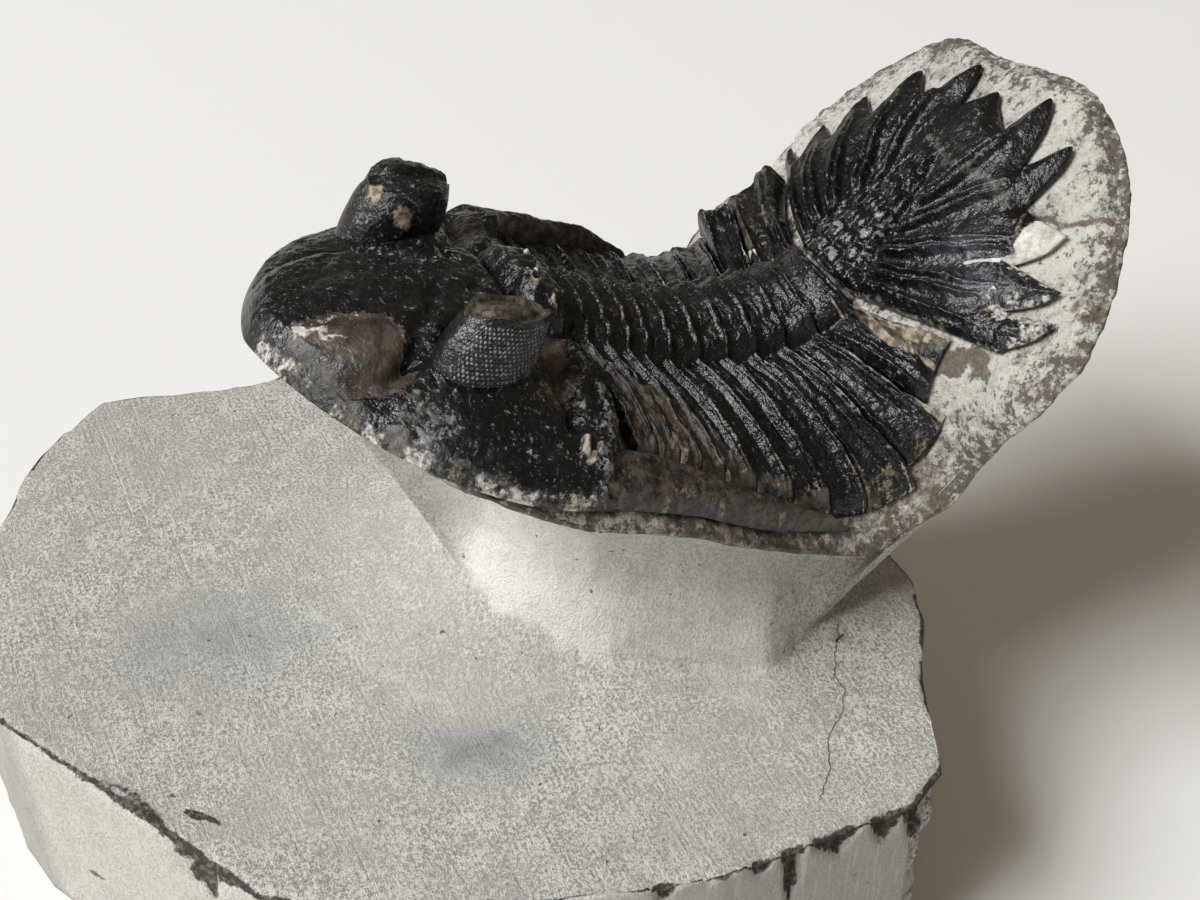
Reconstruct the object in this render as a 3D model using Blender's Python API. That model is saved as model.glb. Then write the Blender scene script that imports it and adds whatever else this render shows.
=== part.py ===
# Hollardops trilobite, curled a little in life and prepared on its block of limestone.
# The animal lies along +X with its head at -X, its right side at +Y and its back up.
# The origin is the middle of the block's flat, sawn underside.
import math

import bmesh
import bpy
import numpy as np

MM = 0.001

# Where the middle of the underside lies in the animal's own frame, in millimetres
UNDERSIDE_X = -13.0
BLOCK_TOP_Z = -8.0
BLOCK_THICKNESS = 18.5

# The body axis in side view: distance along the body from the snout, and its slope in degrees
SNOUT_X = -23.2
SNOUT_Z = 17.5
PITCH_KEYS = [(0, -24.5), (17, -24.5), (22.5, -28), (28, -17.5), (33, -8), (38, 1), (43, 18), (48, 40.7),
              (90, 40.7)]
ROLL_KEYS = [(0, 0), (37, 0), (48, -8.3), (90, -8.3)]
AXIS_FROM = -8.0
AXIS_TO = 80.0
CREST_HEIGHT = 6.3

# Gap that keeps neighbouring pieces apart, and the shell's own thickness
GAP = 0.5
SHELL_THICKNESS = 0.9
SEGMENT_GAP = 0.5

# Head shield
HEAD_WIDEST = 17.4
HEAD_REAR_KEYS = [(-16.2, 18.0), (-12.7, 18.8), (-10.4, 19.2), (-8.0, 18.9), (-4.3, 17.9), (4.3, 17.9),
                  (8.0, 19.0), (12.7, 20.3), (16.2, 20.3)]
HEAD_FRONT_REACH = 17.8
HEAD_HALF_WIDTH = 16.2
CHEEK_HEIGHT = 6.3
FAR_CHEEK_LIFT = 1.3
GLABELLA_WIDTH_KEYS = [(-0.5, 3.6), (2.5, 6.6), (4.6, 7.4), (7, 6.7), (10, 5.3), (14, 4.3), (18, 4.6)]
GLABELLA_HEIGHT_KEYS = [(-0.5, 1.0), (0.9, 2.5), (2.2, 3.5), (3.8, 4.3), (6, 5.1), (8, 5.7), (11, 6.4), (13.6, 6.5),
                        (14.7, 6.2), (16, 7.5), (18, 7.3)]
# Middle of each eye along and out, its half length, and the height of its flat top
NEAR_EYE = (10.6, 7.9, 4.1, 9.2)
FAR_EYE = (11.2, 8.5, 4.1, 9.7)
EYE_HALF_WIDTH = 2.7
EYE_FRONT_DROP = 1.8
GENAL_NOTCH = 12.7
NEAR_SPINE_END = 37.0
FAR_SPINE_END = 36.8
SPINE_TIP_OUT = 15.6
# The genal spines' blades: height at their edges, how much higher their crest is, less of it towards the tip,
# the crest's half width, and how much more the far one stands up
SPINE_EDGE = 0.5
SPINE_CREST = 1.3
SPINE_TIP_FALL = 0.6
SPINE_HALF_WIDTH = 2.6
FAR_SPINE_LIFT = 1.2

# Thorax
# Where each segment ends and the next begins on the crest, and how far the tips are swept back
SEGMENT_EDGES = [18.35, 19.9, 21.5, 23.2, 25.1, 27.6, 30.3, 33.0, 35.6, 38.3, 41.4, 46.2]
SWEEP_KEYS = [(18, 2.2), (36, 2.7), (39, 3.0), (42, 3.4), (47, 3.1)]
SWEEP_FROM = 4.3
SWEEP_TO = 12.3
AXIS_HALF_WIDTH = 4.3
PLEURA_REACH = 14.6
FURROW_KEYS = [(18, 4.6), (24, 4.2), (28, 3.9), (36, 3.5), (42, 3.4), (47, 4.6), (54, 4.9), (90, 4.9)]
NEAR_TIP_KEYS = [(0, 0.4), (17, 1.2), (24, 1.3), (28, 0.6), (32, -0.6), (35.5, -1.8), (39, -2.9), (42, -2.9),
                 (46, -1.0), (50, 1.6), (54, 2.6), (90, 2.6)]
FAR_TIP_KEYS = [(0, 0.4), (12, 1.2), (18, 2.6), (24, 2.7), (30, 2.0), (34, 0.9), (37, 0.2), (40, 0.6), (42.5, 3.0),
                (45.4, 5.4), (47.4, 4.6), (51, 3.0), (55, 2.6), (90, 2.6)]

# Tail shield, whose own distances are counted back from its front edge
TAIL_FROM = 46.5
TAIL_PLATE = 4.75
TAIL_ARCH = 0.0096
TAIL_AXIS_LENGTH = 11.5
TAIL_AXIS_RELIEF = 1.55
TAIL_RINGS = 9
TAIL_RIBS = 7
TAIL_EDGE_FALL = 0.35
# Spine tips and the notches behind each pair, front pair first, as distance back and distance out
NEAR_SPINES = [(7.9, 17.3), (9.6, 15.8), (12.6, 13.2), (17.2, 8.6), (19.0, 4.3)]
NEAR_NOTCHES = [(6.4, 13.8), (9.0, 11.9), (12.2, 9.3), (14.2, 6.9), (15.5, 3.2)]
FAR_SPINES = [(5.6, 17.0), (8.6, 15.7), (12.2, 13.4), (15.9, 9.3), (18.4, 3.7)]
FAR_NOTCHES = [(5.1, 14.1), (8.2, 12.7), (11.1, 10.0), (13.9, 6.0), (15.3, 2.2)]
TAIL_CORNER_BACK = 4.2
TAIL_CORNER_OUT = 15.6
TAIL_MIDDLE_SPINE = 17.4

# Rock: the rim that carries the animal, by distance along the body and out to the side,
# starting behind the tail and passing the near side first
RIM_POINTS = [(66.9, -1.0), (67.4, -4.0), (66.6, -7.2), (65.6, -9.8), (63.3, -13.1), (60.7, -15.3), (57.9, -17.4),
              (55.0, -18.9), (53.0, -19.6), (51.0, -19.7), (48.6, -19.0), (46.4, -17.2), (43.8, -16.2),
              (41.4, -16.1), (39.0, -16.5), (36.2, -16.7), (32.0, -16.6), (26.0, -16.8), (18.2, -16.8),
              (14.4, -15.9), (12.0, -15.0), (9.3, -13.5), (7.3, -11.9), (4.6, -8.8), (2.4, -4.5), (1.2, -1.0),
              (1.1, 1.6), (2.2, 4.6), (4.6, 8.8), (7.3, 12.1), (9.3, 14.0), (12.6, 15.9), (18.0, 16.8), (26.0, 16.4),
              (34.0, 16.1), (40.0, 16.3), (45.5, 17.0), (49.0, 18.2), (51.8, 19.0), (54.2, 18.9), (57.7, 17.7),
              (60.5, 16.7), (62.9, 14.9), (64.7, 12.3), (65.7, 9.6), (65.9, 6.0), (66.2, 2.2)]
LIP_DROP = 2.0
# Neck of rock: its centre, and its radius by direction in degrees
NECK_X = -1.0
NECK_KEYS = [(-180, 12.5), (-157, 12.5), (-143, 12.6), (-121, 13.2), (-105, 13.9), (-86, 15.4), (-71, 18.2),
             (-51, 18.6), (-20, 17.5), (0, 16.5), (30, 16.5), (60, 16.2), (90, 15), (120, 13.2), (150, 12.5),
             (180, 12.5)]
FILLET_KEYS = [(-180, 9.5), (-159, 8.5), (-131, 5), (-112, 2.6), (-86, 1.8), (-60, 2.0), (-40, 2.6), (0, 4),
               (90, 4.5), (140, 8), (180, 9.5)]
# How high the wall's foot stands for each millimetre of fillet, and how far up the wall stays upright
FOOT_RISE = 0.45
UPRIGHT_WALL = 3.5
# Corners of the block seen from above
BLOCK_CORNERS = [(-46.0, 9.6), (-43.9, 1.2), (-41.0, -4.2), (-38.0, -9.8), (-34.8, -16.0), (-32.5, -19.9),
                 (-27.0, -23.8), (-19.4, -26.8), (-11.5, -29.5), (-6.7, -30.8), (0.6, -31.2), (7.1, -31.4),
                 (10.2, -29.9), (11.8, -26.4), (14.3, -21.7), (17.0, -18.2), (18.4, -14.4), (18.6, 0.0),
                 (16.6, 10.0), (12.2, 17.6), (2.0, 23.0), (-7.0, 26.8), (-15.5, 29.3), (-24.7, 31.1),
                 (-29.8, 32.4), (-33.6, 29.9), (-37.4, 25.9), (-40.2, 20.9), (-43.4, 15.6)]
ROCK_COLUMNS = 84


def clear_scene():
    for thing in list(bpy.data.objects):
        bpy.data.objects.remove(thing)


def ease(low, high, value):
    """0 below low, 1 above high, and a smooth step between them."""
    t = np.clip((np.asarray(value, float) - low) / (high - low), 0, 1)
    return t * t * (3 - 2 * t)


def through(keys, value):
    """A smooth curve through (place, height) keys that never swings past them."""
    x = np.array([k[0] for k in keys], float)
    y = np.array([k[1] for k in keys], float)
    rise = np.diff(y) / np.diff(x)
    before, after = rise[:-1], rise[1:]
    turning = before * after <= 0
    inner = np.where(turning, 0, 2 * before * after / np.where(turning, 1, before + after))
    slope = np.concatenate([[rise[0]], inner, [rise[-1]]])
    value = np.clip(np.asarray(value, float), x[0], x[-1])
    i = np.clip(np.searchsorted(x, value, side="right") - 1, 0, len(x) - 2)
    width = x[i + 1] - x[i]
    t = (value - x[i]) / width
    return ((2 * t**3 - 3 * t**2 + 1) * y[i] + (t**3 - 2 * t**2 + t) * width * slope[i]
            + (3 * t**2 - 2 * t**3) * y[i + 1] + (t**3 - t**2) * width * slope[i + 1])


def body_axis():
    """Places, slopes and rolls along the body axis, summed in small steps from the snout."""
    along = np.linspace(AXIS_FROM, AXIS_TO, 1761)
    pitch = np.radians(through(PITCH_KEYS, along))
    roll = np.radians(through(ROLL_KEYS, along))
    step = along[1] - along[0]
    middle = (pitch[1:] + pitch[:-1]) / 2
    x = np.concatenate([[0], np.cumsum(np.cos(middle) * step)])
    z = np.concatenate([[0], np.cumsum(np.sin(middle) * step)])
    x += SNOUT_X - np.interp(0, along, x)
    z += SNOUT_Z - np.interp(0, along, z)
    return along, x, z, pitch, roll


AXIS = body_axis()


def place(along, out, height):
    """A point given by distance along the body, out to its right and up from its base, in the block's frame."""
    along, out, height = np.broadcast_arrays(np.asarray(along, float), out, height)
    x, z, pitch, roll = (np.interp(along, AXIS[0], row) for row in AXIS[1:])
    # The body rolls about its crest line
    side = out * np.cos(roll) - (height - CREST_HEIGHT) * np.sin(roll)
    up = CREST_HEIGHT + out * np.sin(roll) + (height - CREST_HEIGHT) * np.cos(roll)
    return np.stack([x - np.sin(pitch) * up - UNDERSIDE_X, side,
                     z + np.cos(pitch) * up - BLOCK_TOP_Z + BLOCK_THICKNESS], -1)


def tip_height(along, out):
    """Height of the pleural tips on the side that out is on."""
    return np.where(out < 0, through(NEAR_TIP_KEYS, along), through(FAR_TIP_KEYS, along))


def flank(along, out):
    """The smooth skin of the thorax beside its axis: level near the axis, then falling to the tips."""
    furrow = through(FURROW_KEYS, along)
    fall = np.clip((np.abs(out) - 5.0) / (PLEURA_REACH - 5.0), 0, 1.6)
    beyond = np.clip(fall - 1, 0, None)
    return furrow - (furrow - tip_height(along, out)) * (np.minimum(fall, 1) ** 1.8 + 0.55 * beyond)


def swept(out):
    """0 on the axis and 1 out at the tips: how much of the backward sweep has been reached."""
    return np.clip((np.abs(out) - SWEEP_FROM) / (SWEEP_TO - SWEEP_FROM), 0, 1.15) ** 1.1


def head_rear(out):
    """Where the head shield's rear edge is at each distance out."""
    return through(HEAD_REAR_KEYS, out)


def head_margin_share(along, out):
    """0 in the middle of the head and 1 on its outer margin."""
    ahead = np.clip((HEAD_WIDEST - along) / HEAD_FRONT_REACH, 0, None)
    return (np.abs(out) / HEAD_HALF_WIDTH) ** 1.4 + ahead**2.4


def tail_plate(out):
    """The tail shield's arched plate, which levels out on the rock beyond the shell."""
    far_out = np.abs(out)
    return TAIL_PLATE - TAIL_ARCH * np.minimum(far_out, 15.0) ** 2 - 0.12 * np.clip(far_out - 15.0, 0, None)


def rock_height(along, out):
    """The rock's surface under the shell, which is also what shows around it."""
    inside = np.clip(1 - head_margin_share(along, out), 0, None)
    head = 3.9 * inside**0.8 - 0.9 + 1.3 * ease(9, 13, out) * ease(10, 16, along)
    thorax = np.minimum(flank(along, out), through(FURROW_KEYS, along)) - SHELL_THICKNESS - GAP
    tail = tail_plate(out) - SHELL_THICKNESS - 0.1
    rock = head + (thorax - head) * ease(12, 20, along)
    return rock + (tail - rock) * ease(43, 52, along)


def head_height(along, out):
    """The head shield's top: domed cheeks, glabella, eyes, occipital ring and rear border."""
    far_out = np.abs(out)
    inside = np.clip(1 - head_margin_share(along, out), 0.0004, None)
    cheek = CHEEK_HEIGHT * inside**0.6 + FAR_CHEEK_LIFT * ease(8, 12.5, out) * ease(12, 18, along)
    half_width = through(GLABELLA_WIDTH_KEYS, along)
    across = np.clip(1 - (far_out / half_width) ** 2.1, 0, None) ** 0.6
    crown = through(GLABELLA_HEIGHT_KEYS, along) * np.minimum(1, (inside / 0.10) ** 0.5)
    height = cheek - 0.7 * np.exp(-(((far_out - half_width) / 0.9) ** 2)) * ease(1.5, 5, along)
    height = height + np.clip(crown - height, 0, None) * across
    # Furrow behind the glabella, and the furrow and raised band along the cheek's rear margin
    before_rear = head_rear(out) - along
    height = height - 0.7 * np.exp(-(((before_rear - 3.2) / 0.6) ** 2)) * (far_out < 12.5)
    height = height + 0.5 * np.exp(-(((before_rear - 1.4) / 0.9) ** 2)) * (far_out > half_width) * (far_out < 13)
    # Two pairs of short furrows on the glabella's flanks
    for furrow_at in (8.6, 11.4):
        slant = along - furrow_at - 0.25 * (far_out - 3)
        height = height - 0.55 * np.exp(-((slant / 0.55) ** 2)) * ease(1.8, 3.2, far_out) * (far_out < half_width)
    # Each eye is a steep-sided turret whose flat top drops a little in front
    for side, (eye_along, eye_out, half_length, top) in ((-1, NEAR_EYE), (1, FAR_EYE)):
        from_eye = np.hypot((along - eye_along) / half_length, (out * side - eye_out) / EYE_HALF_WIDTH)
        turret = 1 - ease(0.76, 1.04, from_eye)
        eye_top = top - EYE_FRONT_DROP * ease(0, half_length, eye_along - along)
        height = height + (eye_top - height) * turret
    return height


def spine_inner_edge(along, side, end):
    """How far out the inner edge of a genal spine is, from the notch behind the cheek to the spine's tip."""
    start = head_rear(side * GENAL_NOTCH)
    share = np.clip((along - start) / (end - start), 0, 1)
    return GENAL_NOTCH + (SPINE_TIP_OUT - GENAL_NOTCH) * share**1.1


def spine_reach(out, end):
    """How far back the spine reaches at each distance out, along its inner edge."""
    start = head_rear(np.sign(out) * GENAL_NOTCH)
    share = np.clip((np.abs(out) - GENAL_NOTCH) / (SPINE_TIP_OUT - GENAL_NOTCH), 0, 1)
    return start + (end - start) * share ** (1 / 1.1)


def sheet_solid(name, top, bottom, keep=None):
    """A closed solid from a grid of points: the top sheet's faces are extruded, and the copy takes the
    bottom's places. keep says which of the grid's cells there are."""
    rows, columns = top.shape[:2]
    if keep is None:
        keep = np.ones((rows - 1, columns - 1), bool)
    bm = bmesh.new()
    number = bm.verts.layers.int.new("number")
    verts = {}

    def vert(row, column):
        key = row * columns + column
        if key not in verts:
            verts[key] = bm.verts.new(top[row, column] * MM)
            verts[key][number] = key
        return verts[key]

    for row in range(rows - 1):
        for column in range(columns - 1):
            if keep[row, column]:
                bm.faces.new([vert(row, column), vert(row, column + 1), vert(row + 1, column + 1),
                              vert(row + 1, column)])
    made = bmesh.ops.extrude_face_region(bm, geom=list(bm.faces), use_keep_orig=True)
    flat = bottom.reshape(-1, 3)
    for item in made["geom"]:
        if isinstance(item, bmesh.types.BMVert):
            item.co = flat[item[number]] * MM
    bmesh.ops.remove_doubles(bm, verts=list(bm.verts), dist=0.00002)
    return finish_mesh(name, bm)


def finish_mesh(name, bm):
    """Cuts the faces into triangles, turns them outwards and makes the object."""
    bmesh.ops.triangulate(bm, faces=list(bm.faces))
    bmesh.ops.recalc_face_normals(bm, faces=list(bm.faces))
    mesh = bpy.data.meshes.new(name)
    bm.to_mesh(mesh)
    bm.free()
    mesh.shade_smooth()
    mesh.set_sharp_from_angle(angle=math.radians(40))
    thing = bpy.data.objects.new(name, mesh)
    bpy.context.scene.collection.objects.link(thing)
    return thing


def stone_material(name, colour, roughness):
    material = bpy.data.materials.new(name)
    material.use_nodes = True
    shader = material.node_tree.nodes["Principled BSDF"]
    shader.inputs["Base Color"].default_value = (*colour, 1)
    shader.inputs["Roughness"].default_value = roughness
    shader.inputs["Metallic"].default_value = 0.0
    return material


def make_head():
    """Head shield with its eyes and genal spines: columns of points across it, rows from front to back."""
    half = [1.3, 2.6, 3.8, 4.8, 5.6, 6.5, 8.2, 9.8, 10.7, 11.5, GENAL_NOTCH, 13.5, 14.3, 15.0, SPINE_TIP_OUT, 16.0]
    out = np.array([-v for v in reversed(half)] + [0.0] + half)
    # The rows close up where the eyes rise and where the rear furrow and border are
    shares = np.array([0, 0.025, 0.07, 0.15, 0.23, 0.30, 0.42, 0.54, 0.66, 0.73, 0.80, 0.86, 0.93, 1])
    spine_rows = 6
    ahead = np.clip(1 - (np.abs(out) / HEAD_HALF_WIDTH) ** 1.4, 0, None) ** (1 / 2.4)
    front = HEAD_WIDEST - HEAD_FRONT_REACH * ahead
    rear = head_rear(out)
    end = np.where(out < 0, NEAR_SPINE_END, FAR_SPINE_END)
    spine_end = np.maximum(spine_reach(out, end), rear)
    shield = front + (rear - front) * shares[:, None]
    spine_shares = np.linspace(0, 1, spine_rows + 1)[1:, None]
    along = np.vstack([shield, rear + (spine_end - rear) * spine_shares])
    across = np.broadcast_to(out, along.shape)
    # The outermost columns lean in so that the spine ends in a point
    lean = ease(0, 1, (along - HEAD_WIDEST) / (end - HEAD_WIDEST)) * (np.abs(across) > SPINE_TIP_OUT)
    across = across - np.sign(across) * (np.abs(across) - SPINE_TIP_OUT) * lean
    bottom_height = rock_height(along, across) + GAP
    # The spine is a blade that stands up highest along its middle, and more so on the far side
    blade_middle = (GENAL_NOTCH + HEAD_HALF_WIDTH) / 2 + 0.05 * np.clip(along - rear, 0, None)
    arch = np.clip(1 - ((np.abs(across) - blade_middle) / SPINE_HALF_WIDTH) ** 2, 0, 1)
    far_lift = FAR_SPINE_LIFT * ease(12.9, 15.2, across) * (1 - ease(32, 36.5, along))
    crest = SPINE_CREST - SPINE_TIP_FALL * ease(30, 36, along)
    blade = bottom_height + SPINE_EDGE + crest * arch + far_lift
    shield_top = np.maximum(head_height(along, across), bottom_height + 0.45)
    on_spine = ease(-1.5, 1.0, along - rear) * (np.abs(across) > GENAL_NOTCH - 1.0)
    top_height = shield_top + (blade - shield_top) * on_spine
    keep = np.ones((along.shape[0] - 1, along.shape[1] - 1), bool)
    outer = np.abs(out) >= GENAL_NOTCH - 0.01
    keep[len(shares) - 1:] = outer[1:] & outer[:-1]
    return sheet_solid("cephalon", place(along, across, top_height), place(along, across, bottom_height), keep)


def segment_section(start, end, out):
    """The closed outline of one segment at each distance out, going round from its front underside."""
    far_out = np.abs(out)
    front = start + through(SWEEP_KEYS, start) * swept(out)
    back = end + through(SWEEP_KEYS, end) * swept(out)
    middle = (front + back) / 2
    width = back - front
    skin = flank(middle, out)
    lobe = np.clip(1 - (far_out / AXIS_HALF_WIDTH) ** 2, 0, 1) ** 0.6
    crest = skin + (CREST_HEIGHT - skin) * lobe
    on_side = ease(AXIS_HALF_WIDTH - 0.4, AXIS_HALF_WIDTH + 1.0, far_out)
    furrow = 0.35 * on_side * (1 - ease(11, 14, far_out))
    low = [rock_height(where, out) + GAP for where in (front, middle, back)]
    ring_front = 0.75 - 0.3 * on_side
    ridge = 0.35
    steps = [(front, low[0]), (front, np.maximum(crest - ring_front, low[0] + 0.25)),
             (front + 0.28 * width, crest), (middle, crest - furrow), (front + 0.76 * width, crest + ridge),
             (back, np.maximum(crest - 0.15, low[2] + 0.25)), (back, low[2]), (middle, low[1])]
    return np.stack([place(along, out, height) for along, height in steps])


def make_segment(index):
    """One thoracic segment: its axial ring with a pleura on each side, as a bar lofted across the body."""
    start = SEGMENT_EDGES[index] + SEGMENT_GAP / 2
    end = SEGMENT_EDGES[index + 1] - SEGMENT_GAP / 2
    # The genal spines lie on the flanks and cover the tips as far back as they reach
    reach = {}
    for side, spine_end in ((-1, NEAR_SPINE_END), (1, FAR_SPINE_END)):
        tip_front = start + through(SWEEP_KEYS, start) * swept(GENAL_NOTCH)
        covered = spine_inner_edge(tip_front, side, spine_end) - 0.55
        reach[side] = float(PLEURA_REACH if tip_front > spine_end - 1.5 else min(covered, PLEURA_REACH))
    shares = [0.0, 0.12, 0.23, 0.31, 0.42, 0.58, 0.75, 0.9, 1.0]
    out = np.array([-reach[-1] * v for v in reversed(shares[1:])] + [reach[1] * v for v in shares])
    section = segment_section(start, end, out)
    bm = bmesh.new()
    rings = [[bm.verts.new(point * MM) for point in section[:, column]] for column in range(len(out))]
    count = section.shape[0]
    for ring, following in zip(rings[:-1], rings[1:]):
        for corner in range(count):
            after = (corner + 1) % count
            bm.faces.new([ring[corner], ring[after], following[after], following[corner]])
    bm.faces.new(rings[0])
    bm.faces.new(list(reversed(rings[-1])))
    return finish_mesh(f"thorax_segment_{index + 1:02d}", bm)


def tail_side(spines, notches, sign):
    """One side of the tail shield's margin, from its front corner to beside the middle spine."""
    points = [(TAIL_CORNER_BACK, TAIL_CORNER_OUT)]
    for (tip_back, tip_out), (notch_back, notch_out) in zip(spines, notches):
        last_back, last_out = points[-1]
        points.append((last_back * 0.42 + tip_back * 0.58 + 0.15, last_out * 0.42 + tip_out * 0.58 + 0.45))
        points.append((tip_back, tip_out))
        points.append((tip_back * 0.55 + notch_back * 0.45 - 0.1, tip_out * 0.55 + notch_out * 0.45 - 0.2))
        points.append((notch_back, notch_out))
    return [(back, out * sign) for back, out in points]


def tail_outline():
    """The tail shield's margin from its right front corner round to the left one."""
    far = tail_side(FAR_SPINES, FAR_NOTCHES, 1)
    near = tail_side(NEAR_SPINES, NEAR_NOTCHES, -1)
    middle = [(TAIL_MIDDLE_SPINE - 0.9, 1.0), (TAIL_MIDDLE_SPINE, 0.0), (TAIL_MIDDLE_SPINE - 0.9, -1.2)]
    return np.array(far + middle + near[::-1])


def tail_height(back, out):
    """The tail shield's top: arched plate, tapering ringed axis, and ribs that fan out from it."""
    far_out = np.abs(out)
    plate = tail_plate(out) + 0.45 * np.exp(-((np.hypot(back - 5, far_out - 6) / 4.5) ** 2))
    axis_share = np.clip(back / TAIL_AXIS_LENGTH, 0, 1)
    half_width = 4.2 - 3.2 * axis_share
    lobe = np.clip(1 - (far_out / half_width) ** 2, 0, 1) ** 0.7 * (1 - ease(0.9, 1.1, back / TAIL_AXIS_LENGTH))
    rings = 0.16 * np.cos(2 * np.pi * back * TAIL_RINGS / TAIL_AXIS_LENGTH)
    fan = np.arctan2(back + 3.0, np.maximum(far_out, 0.01))
    reach = ease(0.2, 1.2, far_out - half_width) * (1 - ease(10.2, 12.0, np.hypot(back, far_out)))
    ribs = 0.3 * np.cos(2 * np.pi * fan * TAIL_RIBS / 1.35) * reach
    return plate + ribs + (TAIL_AXIS_RELIEF * (1 - 0.45 * axis_share) + rings) * lobe


def make_tail():
    """Tail shield with its spines: rays from the middle of its front edge out to the margin."""
    margin = tail_outline()
    shares = np.array([0.0, 0.16, 0.3, 0.44, 0.58, 0.7, 0.8, 1.0])[:, None]
    # The rays start from a short line across the front of the axis, so that no ray is a sliver
    hub = np.stack([np.full(len(margin), 0.6), np.linspace(3.0, -3.0, len(margin))], -1)
    back = hub[:, 0] + (margin[:, 0] - hub[:, 0]) * shares
    out = hub[:, 1] + (margin[:, 1] - hub[:, 1]) * shares
    along = TAIL_FROM + back
    bottom_height = rock_height(along, out) + GAP
    edge_fall = TAIL_EDGE_FALL * ease(0.8, 1.0, shares)
    top_height = np.maximum(bottom_height + 0.3, tail_height(back, out) - edge_fall)
    return sheet_solid("pygidium", place(along, out, top_height), place(along, out, bottom_height))


def closed_curve(points, count):
    """A closed smooth curve through the points, read at evenly spread places along it."""
    points = np.array(points, float)
    length = np.linalg.norm(np.roll(points, -1, 0) - points, axis=1)
    knots = np.concatenate([[0], np.cumsum(length)])
    wrapped = np.concatenate([knots[-4:-1] - knots[-1], knots, knots[1:4] + knots[-1]])
    looped = np.concatenate([points[-3:], points, points[:1], points[1:4]])
    at = knots[-1] * np.arange(count) / count
    return np.stack([through(list(zip(wrapped, looped[:, axis])), at) for axis in range(2)], -1)


def block_edge(direction):
    """How far the block's upper edge is from the neck's centre in each direction."""
    corners = np.array(BLOCK_CORNERS) - [NECK_X, 0]
    following = np.roll(corners, -1, 0)
    ray = np.stack([np.cos(direction), np.sin(direction)], -1)
    distance = np.full(len(direction), np.inf)
    for here, there in zip(corners, following):
        edge = there - here
        cross = ray[:, 0] * edge[1] - ray[:, 1] * edge[0]
        cross = np.where(np.abs(cross) < 1e-9, 1e-9, cross)
        away = (here[0] * edge[1] - here[1] * edge[0]) / cross
        share = (here[0] * ray[:, 1] - here[1] * ray[:, 0]) / cross
        hit = (away > 0) & (share >= -1e-9) & (share <= 1 + 1e-9)
        distance = np.where(hit, np.minimum(distance, away), distance)
    return distance


def rock_rings(count):
    """Closed rings of points that wrap the rock, from the middle of its top, over the rim, down the neck
    and across the block to its underside."""
    rim = closed_curve(RIM_POINTS, count)
    spine = np.stack([np.clip(rim[:, 0], 9, 58), np.zeros(count)], -1)
    rings = []
    for share in (0.06, 0.24, 0.42, 0.6, 0.76, 0.9, 1.0):
        spot = spine + (rim - spine) * share
        rings.append(place(spot[:, 0], spot[:, 1], rock_height(spot[:, 0], spot[:, 1])))
    edge_height = rock_height(rim[:, 0], rim[:, 1])
    inward = spine - rim
    inward /= np.linalg.norm(inward, axis=1)[:, None]
    lip = rim - 0.25 * inward
    rings.append(place(lip[:, 0], lip[:, 1], edge_height - 0.9))
    lip = rim + 0.5 * inward
    under_lip = place(lip[:, 0], lip[:, 1], edge_height - LIP_DROP)
    rings.append(under_lip)
    spot = rim + 5.0 * inward
    below = place(spot[:, 0], spot[:, 1], edge_height - LIP_DROP - 2.2)
    # Directions round the neck's centre, turned so that the rim's length is drawn in to the neck's
    direction = np.arctan2(rings[6][:, 1], (rings[6][:, 0] + UNDERSIDE_X - NECK_X) * 0.55 + 1.0)
    corner_at = np.arctan2([c[1] for c in BLOCK_CORNERS], [c[0] - NECK_X for c in BLOCK_CORNERS])
    for angle in corner_at:
        nearest = np.argmin(np.abs((direction - angle + np.pi) % (2 * np.pi) - np.pi))
        direction[nearest] = angle
    degrees = np.degrees(direction)
    ray = np.stack([np.cos(direction), np.sin(direction)], -1)
    neck = through(NECK_KEYS, degrees)
    fillet = through(FILLET_KEYS, degrees)
    edge = block_edge(direction)

    def level(radius, height):
        flat = ray * radius[:, None] + [NECK_X - UNDERSIDE_X, 0]
        return np.concatenate([flat, np.broadcast_to(height, (count,))[:, None]], 1)

    wall_foot = level(neck, BLOCK_THICKNESS + fillet * FOOT_RISE)
    above_foot = level(neck, BLOCK_THICKNESS + fillet * FOOT_RISE + UPRIGHT_WALL)
    for t in (0.2, 0.4, 0.6, 0.8, 1.0):
        rings.append((1 - t)**3 * under_lip + 3 * (1 - t)**2 * t * below + 3 * (1 - t) * t**2 * above_foot
                     + t**3 * wall_foot)
    corner = level(neck, BLOCK_THICKNESS)
    foot = level(neck + fillet, BLOCK_THICKNESS)
    for t in (0.35, 0.68, 1.0):
        rings.append((1 - t)**2 * wall_foot + 2 * (1 - t) * t * corner + t**2 * foot)
    rings.append(level(edge - 0.5, BLOCK_THICKNESS))
    rings.append(level(edge, BLOCK_THICKNESS - 0.5))
    rings.append(level(edge, 0.0))
    return rings


def make_rock():
    """The block, its neck and the backing under the animal, which are one piece of rock."""
    bm = bmesh.new()
    rings = [[bm.verts.new(point * MM) for point in ring] for ring in rock_rings(ROCK_COLUMNS)]
    count = ROCK_COLUMNS
    for ring, following in zip(rings[:-1], rings[1:]):
        for column in range(count):
            after = (column + 1) % count
            bm.faces.new([ring[column], ring[after], following[after], following[column]])
    # The first ring is a narrow slot along the crest, closed by faces from side to side
    top = rings[0]
    for column in range(count // 2):
        there = (count - column) % count
        after = column + 1
        before = count - after
        corners = []
        for vert in (top[column], top[after], top[before], top[there]):
            if vert not in corners:
                corners.append(vert)
        if len(corners) > 2:
            bm.faces.new(corners)
    bm.faces.new(rings[-1])
    return finish_mesh("matrix", bm)


def main():
    clear_scene()
    shell = stone_material("shell", (0.028, 0.029, 0.032), 0.35)
    rock = stone_material("rock", (0.58, 0.56, 0.53), 0.85)
    pieces = [make_head(), make_tail()] + [make_segment(index) for index in range(len(SEGMENT_EDGES) - 1)]
    for piece in pieces:
        piece.data.materials.append(shell)
    matrix = make_rock()
    matrix.data.materials.append(rock)


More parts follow.
